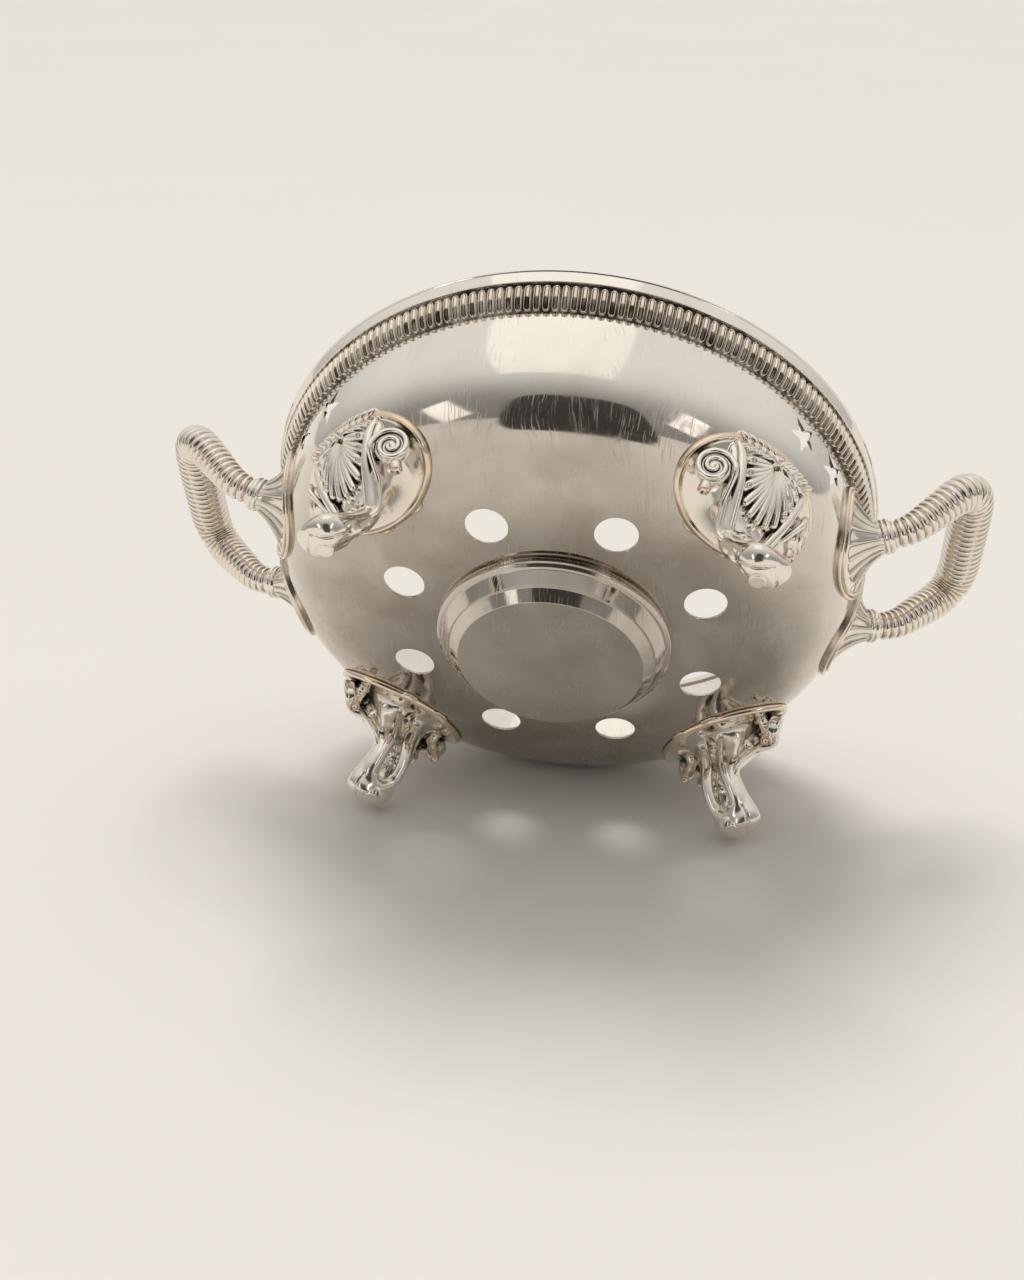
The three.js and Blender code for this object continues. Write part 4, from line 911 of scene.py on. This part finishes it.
def tube_distance(field, points, radii):
    """Distance to a chain of capsules, in a window round it, on both sides of the mirror plane."""
    points, radii = np.asarray(points, np.float32), np.broadcast_to(radii, len(points)).astype(np.float32)
    pad = float(radii.max()) + 3.5
    spans = field.window(points.min(0) - pad, points.max(0) + pad)
    if spans is None:
        return None, None
    whole = [span.start for span in spans]
    result = np.full([span.stop - span.start for span in spans], 9.0, np.float32)
    for k in range(len(points) - 1):
        a, b = points[k], points[k + 1]
        ra, rb = radii[k], radii[k + 1]
        reach = max(ra, rb) + 3.5
        part = field.window(np.minimum(a, b) - reach, np.maximum(a, b) + reach)
        if part is None:
            continue
        part = tuple(slice(max(p.start, s.start), min(p.stop, s.stop)) for p, s in zip(part, spans))
        if any(p.stop <= p.start for p in part):
            continue
        u, v, z = field.near(part)
        ab = b - a
        share = ((u - a[0]) * ab[0] + (v - a[1]) * ab[1] + (z - a[2]) * ab[2]) / max(float(ab @ ab), 1e-6)
        share = np.clip(share, 0, 1)
        gap = np.sqrt((u - a[0] - share * ab[0]) ** 2 + (v - a[1] - share * ab[1]) ** 2
                      + (z - a[2] - share * ab[2]) ** 2) - (ra + (rb - ra) * share)
        inner = tuple(slice(p.start - w, p.stop - w) for p, w in zip(part, whole))
        result[inner] = np.minimum(result[inner], gap)
    return spans, result


def join_tube(field, points, radii, k=0.8, cut=False):
    spans, gap = tube_distance(field, points, radii)
    if spans is None:
        return
    here = field.value[spans]
    field.value[spans] = soft_max(here, -gap, k) if cut else soft_min(here, gap, k)


def smooth_path(points, count):
    """A Catmull-Rom line through the points."""
    points = np.asarray(points, float)
    padded = np.concatenate([[2 * points[0] - points[1]], points, [2 * points[-1] - points[-2]]])
    at = np.linspace(0, len(points) - 1.0001, count)
    k = at.astype(int)
    t = (at - k)[:, None]
    p0, p1, p2, p3 = padded[k], padded[k + 1], padded[k + 2], padded[k + 3]
    return 0.5 * (2 * p1 + (p2 - p0) * t + (2 * p0 - 5 * p1 + 4 * p2 - p3) * t ** 2
                  + (3 * p1 - p0 - 3 * p2 + p3) * t ** 3)


# Leg sections: height, inner face, outer face, half width
LEG = np.array([
    (56, 83, 111, 15.5), (52, 86, 110, 15), (44, 88.5, 109, 14.5), (38, 90.8, 107.5, 13),
    (33, 92, 104.5, 11.4), (28, 93, 102, 10), (24, 93.6, 101.6, 9.5), (20, 94.9, 103, 9.3), (16, 96.8, 107, 9.4),
    (12, 99.6, 112.6, 9.8), (9, 101.6, 116.9, 10.2), (6, 103.0, 118.0, 10.2), (3.5, 103.8, 117, 8.8),
    (1.5, 105, 114.5, 7), (0.5, 105.5, 112, 5), (-3, 106, 110, 4),
])[::-1]
SHIELD_U, SHIELD_Z = 97, 48.35
SHIELD_HALF_WIDTH, SHIELD_HALF_HEIGHT = 31.3, 21.5
TOE_PAD_U, TOE_PAD_RADIUS = 107.2, 3.2
EYE = np.array([104.7, 22.7, 40.3])  # middle of the volute
DRUM_RADIUS = 6.5
FACE = np.array([0.72, 0.66, -0.22])  # the way that the volute's face looks
FACE_SIDE = -unit(np.cross(FACE, [0, 0, 1.0]))
FACE_RISE = unit(np.cross(FACE_SIDE, FACE))
FACE_RISE *= math.copysign(1, FACE_RISE[2])
NODE = np.array([113.2, 0.0, 51.6])  # where the palmette's lobes meet
PALMETTE_DOWN = np.array([-0.338, 0.0, -0.941])
PALMETTE_OUT = np.array([0.941, 0.0, -0.338])
LOBES = ((71, 13.0), (51, 15.2), (35.5, 17.8), (21.5, 20.4), (10, 22), (0, 22.4))  # angle, length
COPPER_SPOTS = ((1.0, (104.6, 0.6, 20.4), 5), (0.7, (99.9, 23, 30.8), 5), (0.6, (117.6, 3, 9), 9))


def leg_at(z, column):
    """Leg sizes at a height, smoothed between the sections."""
    fine = np.linspace(-3, 56, 600)
    values = np.interp(fine, LEG[:, 0], LEG[:, column])
    kernel = np.hanning(41)
    padded = np.concatenate([np.full(20, values[0]), values, np.full(20, values[-1])])
    return np.interp(z, fine, np.convolve(padded, kernel / kernel.sum(), "valid")).astype(np.float32)


def skin_distance(u, v, z):
    """Distance to the bowl's skin, above zero outside it."""
    across = np.sqrt(u * u + v * v)
    low = np.maximum(BOWL_SHOULDER_Z - z, 0) / BOWL_DEPTH
    ratio = across / BOWL_RADIUS
    total = ratio ** BOWL_ROUNDNESS + low ** BOWL_ROUNDNESS
    scale = total ** (1 / BOWL_ROUNDNESS - 1)
    du = scale * ratio ** (BOWL_ROUNDNESS - 1) / BOWL_RADIUS
    dz = scale * low ** (BOWL_ROUNDNESS - 1) / BOWL_DEPTH
    return (total ** (1 / BOWL_ROUNDNESS) - 1) / np.maximum(np.sqrt(du * du + dz * dz), 1e-6)


def off_skin(v, z, offset):
    """A point off the bowl's skin in the foot's frame."""
    return np.array([math.sqrt(float(skin_radius(z)) ** 2 - v * v) + offset, v, z])


def face_point(turn, reach, depth):
    """A point on the volute's face: turns and reach about its eye."""
    return EYE + FACE * depth + reach * (math.cos(turn) * FACE_SIDE + math.sin(turn) * FACE_RISE)


def add_scroll(field):
    """The band that rises from the knee, and the volute that it rolls up into."""
    u, v, z = field.grid

    # Band that rises from the knee: a fat ridge on the palmette's side, a thin one on the other
    line = smooth_path([
        (102.2, 2.5, 21.2), (99.4, 7.0, 20.9), (98.6, 9.4, 23.6), (101.8, 11.4, 29), (106.4, 14.0, 36),
        (109.2, 16.0, 43), (110.4, 17.8, 49.5), (110.4, 20.0, 54.5),
    ], 110)
    count = len(line)
    tangent = unit(np.gradient(line, axis=0))
    wide = np.array([-0.45, 0.9, 0]) + 0 * line
    wide = unit(wide - tangent * (wide * tangent).sum(1, keepdims=True))
    out_way = np.cross(wide, tangent)
    out_way *= np.sign((out_way @ np.array([1.0, 0.3, 0.2])))[:, None]
    share = np.linspace(0, 1, count)
    spread = np.interp(share, [0, 0.25, 0.5, 0.8, 1], [0.6, 0.9, 1, 1, 0.7])[:, None]
    for offset, fat, sink in ((-1.9, 1.9, 0.1), (0.5, 1.3, 1.5), (2.3, 1.0, 0.5)):
        radii = fat * np.interp(share, [0, 0.12, 0.8, 1], [0.75, 1, 1, 0.45])
        reach = count if offset < 1 else int((line[:, 2] < 38).sum())
        join_tube(field, (line + wide * spread * offset - out_way * sink)[:reach], radii[:reach], 0.4)
    for depth in (2.6, 4.4):
        join_tube(field, (line - out_way * depth)[line[:, 2] > 33], 2.3, 0.8)
    join_tube(field, (line - out_way * 1.6)[line[:, 2] <= 33], 1.9, 0.8)

    # Volute: the thin ridge rolls up on a drum, which ends below in a square cut
    eye_u, eye_v, eye_z = u - EYE[0], v - EYE[1], z - EYE[2]
    plane = eye_u * FACE[0] + eye_v * FACE[1] + eye_z * FACE[2]
    from_eye = np.sqrt(np.maximum(eye_u ** 2 + eye_v ** 2 + eye_z ** 2 - plane ** 2, 0))
    drum = soft_max(soft_max(from_eye - DRUM_RADIUS, plane - 0.9, 0.8), -2.4 - plane, 0.6)
    field.value = soft_min(field.value, drum.astype(np.float32), 0.7)
    thin = line + wide * spread * 2.3 - out_way * 0.5
    thin = thin[thin[:, 2] < 34.5]
    turns = np.linspace(math.radians(-38), math.radians(-38) + 2.15 * TURN, 64)
    reach = np.interp(turns, [turns[0], turns[0] + 1.2, turns[0] + TURN, turns[-1]], [8.3, 6.9, 4.4, 1.0])
    curl = [face_point(math.pi - turn, r, 1.4) for turn, r in zip(turns, reach)]
    path = smooth_path(np.concatenate([thin[4::8], np.array(curl)[2::3]]), 150)
    radii = np.interp(np.linspace(0, 1, len(path)), [0, 0.1, 0.45, 0.6, 1], [0.8, 1.05, 1.1, 0.95, 0.8])
    join_tube(field, path, radii, 0.35)
    tail = np.array([EYE - FACE * 3.2, (101.4, 22.2, 35.0), (100.4, 22.6, 32.3)])
    join_tube(field, tail, [2.6, 2.4, 2.3], 0.6)
    join_tube(field, [EYE - FACE * 2.5, EYE - FACE * 5 + np.array([-2.5, 1, 3.5])], 2.6, 1.2)
    onward = unit(tail[2] - tail[1])
    join_tube(field, [tail[2] + onward * 1.2, tail[2] + onward * 4.2], 1.9, 0.2, cut=True)


def add_palmette(field):
    """Lobes that spread down from the node, most with a drilled eye near the end, and a ring below them."""
    part = np.linspace(0, 1, 12)
    bulge = 1.6 * np.sin(np.pi * part) - 0.6 * part
    for angle, length in LOBES:
        fat = float(np.interp(angle, [0, 10, 35, 60], [1.5, 1.6, 1.9, 2.0]))
        radii = np.interp(part, [0, 0.3, 0.8, 1], [0.4, 0.62 * fat, fat, fat * 0.96])
        for sign in ((1, -1) if angle else (1,)):
            a = math.radians(angle) * sign
            along = PALMETTE_DOWN * math.cos(a) + np.array([0, 1, 0]) * math.sin(a)
            reach = 0.8 + (length - 0.8) * part
            lobe = NODE + along * reach[:, None] + PALMETTE_OUT * bulge[:, None]
            join_tube(field, lobe - PALMETTE_OUT * 2.9, radii + 0.75, 0.3)
            join_tube(field, lobe, radii, 0.22)
            if length < 20:
                drilled = NODE + along * (length - 0.9) + PALMETTE_OUT * (fat - 0.3)
                join_tube(field, [drilled, drilled + PALMETTE_OUT * 0.6], 0.95, 0.2, cut=True)
    join_tube(field, [(101.2, 0, 29.9), (102.2, 0, 29.6)], 2.1, 0.4)
    ring = [(101.4 + 0.2 * math.cos(a), 3.1 * math.sin(a), 29.7 + 3.1 * math.cos(a))
            for a in np.linspace(0, TURN / 2, 14)]
    join_tube(field, ring, 0.75, 0.3)


def add_leaves(field):
    """Crest of laurel leaves over the palmette, and the shallow leaf web beside the volute."""
    rib = [off_skin(*place) for place in ((18.5, 53.0, 1.9), (13, 53.9, 2.4), (7, 54.2, 2.8), (1, 53.7, 3.1))]
    join_tube(field, smooth_path(rib, 24), 0.85, 0.5)
    part = np.linspace(0, 1, 9)
    for climb, fat, roots in ((2.7, 1.0, (13.6, 10.3, 7.0, 3.7, 0.6)), (-1.9, 0.85, (13.0, 9.6, 6.2, 3.0))):
        for root in roots:
            base = 54.1 - 0.0045 * root ** 2
            leaf = np.array([off_skin(root + 5.4 * s, base + climb * s, 2.3 + 0.8 * math.sin(math.pi * s))
                             for s in part])
            join_tube(field, leaf - np.array([1.2, 0, 0.2]), fat, 0.4)
            join_tube(field, leaf, 0.25 + fat * np.sin(np.pi * (0.12 + 0.78 * part)), 0.14)
    top = off_skin(0, 54, 2.7)
    for tip in ((0.3, 3.2, 1.8), (-0.6, 3.0, -3.0)):
        join_tube(field, [top, top + np.array(tip)], 0.8, 0.25)

    # Shallow leaf web between the volute and the shield's lower edge
    for places, radius in (
        (((14.9, 38.8), (8.5, 37.0), (3.0, 36.9)), 0.75),
        (((21.4, 39.8), (16.5, 38.1), (12.6, 37.9), (11.0, 36.8), (6.0, 36.5)), 0.6),
    ):
        join_tube(field, smooth_path([off_skin(*place, 1.5) for place in places], 24), radius, 0.7)


def add_toe(field, body):
    """Knee knob and the toe's creases, laid on the body's surface as seen from a point inside it."""
    corner = np.array([field.u[0], field.v[0], field.z[0]])

    def on_leg(points, centre):
        laid = []
        for point in smooth_path(points, 26):
            ray = centre + unit(point - centre) * np.linspace(0.5, 24, 120)[:, None]
            depth = sample(body, corner, field.step, ray)
            laid.append(ray[int(np.argmax(depth > 0))])
        return np.array(laid)

    knee = on_leg([(106, 0, 20.6), (106, 0, 20.4)], np.array([99, 0, 21]))[0]
    join_tube(field, [knee - np.array([1.6, 0, 0]), knee - np.array([1.2, 0, 0])], 3.2, 0.3)
    collar = [knee + np.array([-0.7 - 0.5 * abs(math.sin(a)), 4.4 * math.sin(a), 4.4 * math.cos(a)])
              for a in np.linspace(0, TURN / 2, 16)]
    join_tube(field, collar, 0.8, 0.3)
    for points, radius in (
        ([(101.3, 8.7, 10.1), (106, 7.6, 5.2), (110.7, 5.2, 1.4), (113.5, 3.0, 1.2), (116.5, 0, 2.2)], 0.6),
        ([(103.5, 6.8, 16.5), (109, 7.2, 13.5), (115.2, 7.4, 9), (118.2, 4.5, 7.0), (118.6, 0, 6.4)], 0.75),
    ):
        groove = on_leg(points, np.array([107, 0, 8]))
        depth = radius * np.interp(np.linspace(0, 1, len(groove)), [0, 0.3, 1], [0.1, 1, 1])
        join_tube(field, groove, depth, 0.5, cut=True)


def make_foot_field(step):
    """The foot's distance field, where its rolled edge is worn bright, and where copper shows through."""
    field = Field(step)
    u, v, z = field.grid
    skin = skin_distance(u, v, z).astype(np.float32)

    # Shield on the bowl, thicker at its rolled edge, with a notch each side of the crest
    s = (u - SHIELD_U) * 0.839 + (z - SHIELD_Z) * 0.543
    oval = np.sqrt((v / SHIELD_HALF_WIDTH) ** 2 + (s / SHIELD_HALF_HEIGHT) ** 2)
    grow = np.sqrt((v / SHIELD_HALF_WIDTH ** 2) ** 2 + (s / SHIELD_HALF_HEIGHT ** 2) ** 2)
    grow = grow / np.maximum(oval, 1e-4)
    edge = (oval - 1) / np.maximum(grow, 0.02)
    edge = edge + 1.5 * np.exp(-((v - 14.5) / 1.9) ** 2) * np.clip((s - 9) / 5, 0, 1)
    thick = 1.35 + 1.0 * np.exp(-((edge + 1.0) / 1.05) ** 2)
    shield = soft_max(skin - thick, edge, 1.1)

    # Leg and toe
    inner, outer, half = (leg_at(z, column) for column in (1, 2, 3))
    middle = (inner + outer) / 2
    deep = (outer - inner) / 2
    power = 2.5
    ratio = (np.abs(u - middle) / deep) ** power + (v / half) ** power
    level = ratio ** (1 / power)
    scale = np.maximum(ratio, 1e-6) ** (1 / power - 1)
    du = scale * (np.abs(u - middle) / deep) ** (power - 1) / deep
    dv = scale * (v / half) ** (power - 1) / half
    leg = (level - 1) / np.maximum(np.sqrt(du * du + dv * dv), 0.05) * 0.92
    leg = soft_max(leg, 0.35 - z, 1.6)
    leg = soft_max(leg, z - 57, 2)
    value = soft_min(shield, leg, 7.0)

    # Pad under the toe
    pad = np.sqrt((u - TOE_PAD_U) ** 2 + v ** 2) - TOE_PAD_RADIUS
    value = np.minimum(value, soft_max(pad, np.maximum(-z, z - 3), 0.5))
    body = value.copy()

    # Keyhole slot in the leg's inner face, between two round columns under one bow
    width = np.interp(z, [8.2, 9.4, 12, 16, 21, 25, 28, 31, 34, 36.3, 37.8],
                      [-1.0, 2.0, 3.1, 2.9, 1.9, 1.1, 1.1, 1.7, 2.4, 1.9, -1.0]).astype(np.float32)
    deep_cut = np.minimum(6.0, (outer - inner) * 0.5)
    slot = soft_max(soft_max(v - width, u - (inner + deep_cut), 1.2), inner - 6 - u, 0.5)
    field.value = value
    column = smooth_path([
        (0, 1.5, 40.6), (0, 4.9, 39.2), (0, 5.6, 35), (0, 5.0, 30), (0, 4.7, 26), (0, 5.2, 21), (0, 5.9, 15),
        (0, 5.4, 9.5), (0, 2.2, 6.6), (0, 0, 6.3),
    ], 90)
    column[:, 0] = leg_at(column[:, 2], 1) + 2.1
    join_tube(field, column, np.interp(column[:, 2], [6, 12, 30, 40], [2.2, 3.0, 3.1, 2.4]), 1.6)
    field.value = soft_max(field.value, -slot, 0.8)

    add_scroll(field)
    add_palmette(field)
    add_leaves(field)
    add_toe(field, body)
    field.value = np.maximum(field.value, 0.12 - skin).astype(np.float32)
    gilt = (np.exp(-((edge + 0.5) / 0.8) ** 2) * (skin < 3.4)).astype(np.float32)
    copper = sum(level * np.exp(-((u - a) ** 2 + (v - b) ** 2 + (z - c) ** 2) / spread)
                 for level, (a, b, c), spread in COPPER_SPOTS)
    return field, gilt, copper.astype(np.float32)


def mirrored(values):
    """A half grid with its mirror image."""
    return np.concatenate([values[:, :0:-1], values], axis=1)


def sample(values, origin, step, points):
    """Trilinear values of a grid at points."""
    at = (points - origin) / step
    at = np.clip(at, 0, np.array(values.shape) - 1.001)
    low = at.astype(int)
    share = at - low
    total = 0
    for corner in np.ndindex(2, 2, 2):
        weight = np.prod(np.where(corner, share, 1 - share), axis=1)
        total = total + weight * values[tuple((low + corner).T)]
    return total


def surface_net(values, origin, step):
    """Quads over the zero level of a grid of distances, with their corners in the cut cells."""
    inside = values < 0
    mixed = np.zeros(np.array(values.shape) - 1, bool)
    first = inside[:-1, :-1, :-1]
    for corner in np.ndindex(2, 2, 2):
        spans = tuple(slice(c, n - 1 + c) for c, n in zip(corner, values.shape))
        mixed |= inside[spans] != first
    cells = np.argwhere(mixed)
    label = np.full(mixed.shape, -1, np.int64)
    label[tuple(cells.T)] = np.arange(len(cells))
    total, count = np.zeros((len(cells), 3)), np.zeros(len(cells))
    for axis in range(3):
        others = [k for k in range(3) if k != axis]
        for a, b in np.ndindex(2, 2):
            start = cells.copy()
            start[:, others[0]] += a
            start[:, others[1]] += b
            end = start.copy()
            end[:, axis] += 1
            va, vb = values[tuple(start.T)], values[tuple(end.T)]
            cut = (va < 0) != (vb < 0)
            share = np.where(cut, va / np.where(cut, va - vb, 1), 0)
            point = start.astype(float)
            point[:, axis] += share
            total[cut] += point[cut]
            count[cut] += 1
    points = origin + total / count[:, None] * step
    quads = []
    for axis in range(3):
        others = [k for k in range(3) if k != axis]
        spans_a = [slice(None)] * 3
        spans_b = [slice(None)] * 3
        spans_a[axis], spans_b[axis] = slice(0, -1), slice(1, None)
        crossing = inside[tuple(spans_a)] != inside[tuple(spans_b)]
        edges = np.argwhere(crossing)
        keep = (edges[:, others[0]] > 0) & (edges[:, others[1]] > 0)
        for k in others:
            keep &= edges[:, k] < mixed.shape[k]
        edges = edges[keep]
        corners = []
        for a, b in ((-1, -1), (0, -1), (0, 0), (-1, 0)):
            cell = edges.copy()
            cell[:, others[0]] += a
            cell[:, others[1]] += b
            corners.append(label[tuple(cell.T)])
        quads.append(np.stack(corners, 1))
    quads = np.concatenate(quads)
    return points, quads[(quads >= 0).all(1)]


def make_feet():
    step = 0.33
    field, gilt, copper = make_foot_field(step)
    values = mirrored(field.value)
    origin = np.array([field.u[0], -field.v[-1], field.z[0]], float)
    points, faces = surface_net(values, origin, step)
    slopes = [g.astype(np.float32) for g in np.gradient(values, step)]

    def read(grid, places):
        return sample(grid, origin, step, places)

    for _ in range(2):
        gradient = np.stack([read(g, points) for g in slopes], -1)
        level = read(values, points)
        points = points - gradient * (level / np.maximum((gradient ** 2).sum(1), 0.2))[:, None] * 0.8
    normals = unit(np.stack([read(g, points) for g in slopes], -1))
    # Painted shade with patina: hollows and narrow gaps, found from the room outside each point, darken
    open_way = read(values, points + normals * 1.3)
    cavity = np.clip(1 - open_way / 1.15, 0, 1) ** 1.2
    narrow = np.clip(1 - open_way / 0.7, 0, 1)
    sharp = np.clip(1 + read(values, points - normals * 0.9) / 0.75, 0, 1)
    wear = np.clip(read(mirrored(gilt), points) * 0.85 + sharp * 0.35, 0, 1)
    red = np.clip(read(mirrored(copper), points), 0, 0.8)
    dark = np.clip(0.8 * cavity + 0.4 * narrow, 0, 1)
    faces = facing(points, faces, normals)
    for corner, angle in (("front_right", -45), ("front_left", -135), ("back_right", 45), ("back_left", 135)):
        spin = spin_about_z(math.radians(angle))
        add_piece(f"foot_casting_{corner}", points @ spin, faces, CAST, "warmer", [f"foot_{corner}"],
                  normals @ spin, "silver_casting", cavity=dark, wear=wear, copper=red)


make_bowl()
make_rim()
make_gadroon()
make_well()
make_handles()
make_sockets()
make_burner()
make_feet()


# Stage: the object lies on its side in this view, so lights and floor are tilted against its own axes

UP = Vector((0, -0.913, 0.407)).normalized()
AWAY = UP.cross(Vector((1, 0, 0))).normalized()
GROUND = Vector((0, 0.0815, 0))
# The floor's own plane is clear of the bowl's belly, and keeps the horizon out of the picture
FLOOR_UP = Vector((0, -0.8988, 0.4384)).normalized()
FLOOR_AT = Vector((0, 0.0864, 0))
FLOOR_HALF = 40.0
IMAGE_HEIGHT = 1280
FOCAL_LENGTH = 1686.98  # in the image's pixels, from the fit to the photograph
CAMERA_AT = (0.0631734, -0.5069358, -0.3952983)
CAMERA_TURN = (0.4197443, 0.9048684, -0.0092732, 0.0702989)


def on_stage(right, away, up):
    """A place by its distances right of, behind and above the middle of the stage."""
    return GROUND + Vector((right, 0, 0)) + AWAY * away + UP * up


def stage_panel(name, points, material):
    mesh = bpy.data.meshes.new(name)
    mesh.from_pydata([tuple(p) for p in points], [], [tuple(range(len(points)))])
    mesh.materials.append(material)
    panel = bpy.data.objects.new(name, mesh)
    bpy.context.collection.objects.link(panel)
    return panel


def add_floor():
    """Pale floor, seen from its upper side only."""
    material, n, where = new_material("pale_floor")
    mottle = n.ramp(n.noise(where, 3.0, 2.0), 0.3, 0.7)
    base = n.blend(mottle, colour(0.674, 0.658, 0.633), colour(0.68, 0.664, 0.639))
    shader = n.add("BsdfPrincipled", {"Base Color": base, "Roughness": 0.9})
    clear = n.add("BsdfTransparent")
    behind = n.add("NewGeometry").outputs["Backfacing"]
    both = n.add("MixShader", {0: behind, 1: shader.outputs[0], 2: clear.outputs[0]})
    n.add("OutputMaterial", {0: both.outputs[0]})
    across, back = Vector((1, 0, 0)), FLOOR_UP.cross(Vector((1, 0, 0)))
    corners = [(-1, -1), (1, -1), (1, 1), (-1, 1)]
    stage_panel("floor", [FLOOR_AT + (across * x + back * y) * FLOOR_HALF for x, y in corners], material)


def add_flag():
    """Dark card behind the camera, which only the metal sees."""
    material, n, where = new_material("dark_card")
    n.coat(n.blend(n.noise(where, 4.0, 2.0), colour(0.02, 0.02, 0.024), colour(0.07, 0.06, 0.055)), 0.8)
    points = []
    for k in range(48):
        angle = TURN * k / 48
        x, y = math.cos(angle), math.sin(angle)
        swell = (abs(x) ** 4 + abs(y) ** 4) ** -0.25
        points.append(on_stage(0.03 + 0.38 * x * swell, -0.95, 0.36 + 0.37 * y * swell))
    card = stage_panel("dark_card", points, material)
    card.visible_camera = card.visible_diffuse = card.visible_shadow = False


def add_light(name, place, target, size, radiance, tint=(1, 0.945, 0.865)):
    """A soft box: an area light of a given brightness."""
    lamp = bpy.data.lights.new(name, "AREA")
    lamp.shape = "RECTANGLE"
    lamp.size, lamp.size_y = size
    lamp.energy = radiance * math.pi * size[0] * size[1]
    lamp.color = tint
    light = bpy.data.objects.new(name, lamp)
    aim = target - place
    light.matrix_world = Matrix.Translation(place) @ aim.to_track_quat("-Z", "Y").to_matrix().to_4x4()
    bpy.context.collection.objects.link(light)


def add_key(aim, level, spread):
    """Even light with soft shadows, which the metal doesn't mirror."""
    lamp = bpy.data.lights.new("key", "SUN")
    lamp.energy = level * math.pi
    lamp.angle = math.radians(spread)
    lamp.color = (1, 0.97, 0.925)
    light = bpy.data.objects.new("key", lamp)
    light.matrix_world = aim.to_track_quat("-Z", "Y").to_matrix().to_4x4()
    light.visible_glossy = False
    bpy.context.collection.objects.link(light)


def add_world():
    """Soft studio light, brighter overhead than near the floor."""
    world = bpy.data.worlds.new("studio")
    bpy.context.scene.world = world
    n = Nodes(world)
    way = n.add("TexCoord").outputs["Generated"]
    bright = tuple((UP * 0.9 + AWAY * 0.44).normalized())
    height = n.add("VectorMath", {0: way, 1: bright}, operation="DOT_PRODUCT").outputs["Value"]
    level = n.ramp(height, -0.1, 0.72, 0.3, 0.76)
    shade = n.add("Background", {"Color": colour(1.0, 0.965, 0.915), "Strength": level})
    n.add("OutputWorld", {0: shade.outputs[0]})


def add_camera():
    lens = bpy.data.cameras.new("camera")
    lens.sensor_fit = "VERTICAL"
    lens.sensor_height = 36
    lens.lens = FOCAL_LENGTH / IMAGE_HEIGHT * lens.sensor_height
    lens.clip_start = 0.01
    lens.clip_end = 100
    camera = bpy.data.objects.new("camera", lens)
    camera.matrix_world = Matrix.Translation(CAMERA_AT) @ Quaternion(CAMERA_TURN).to_matrix().to_4x4()
    bpy.context.collection.objects.link(camera)
    bpy.context.scene.camera = camera


add_floor()
add_flag()
add_world()
add_key(on_stage(0, 0, 0) - on_stage(-0.2, 0.62, 1.15), 0.6, 28)
add_light("box_above", on_stage(-0.23, 0.04, 2.0), on_stage(-0.23, 0.04, 0), (1.46, 2.1), 0.24)
add_light("box_left", on_stage(-0.98, -1.17, 0.5), on_stage(0, 0, 0.1), (0.26, 0.6), 1.1)
add_light("box_right", on_stage(0.98, -1.12, 0.72), on_stage(0, 0, 0.1), (0.26, 0.6), 1.1)
add_camera()
bpy.context.scene.view_settings.view_transform = "Standard"
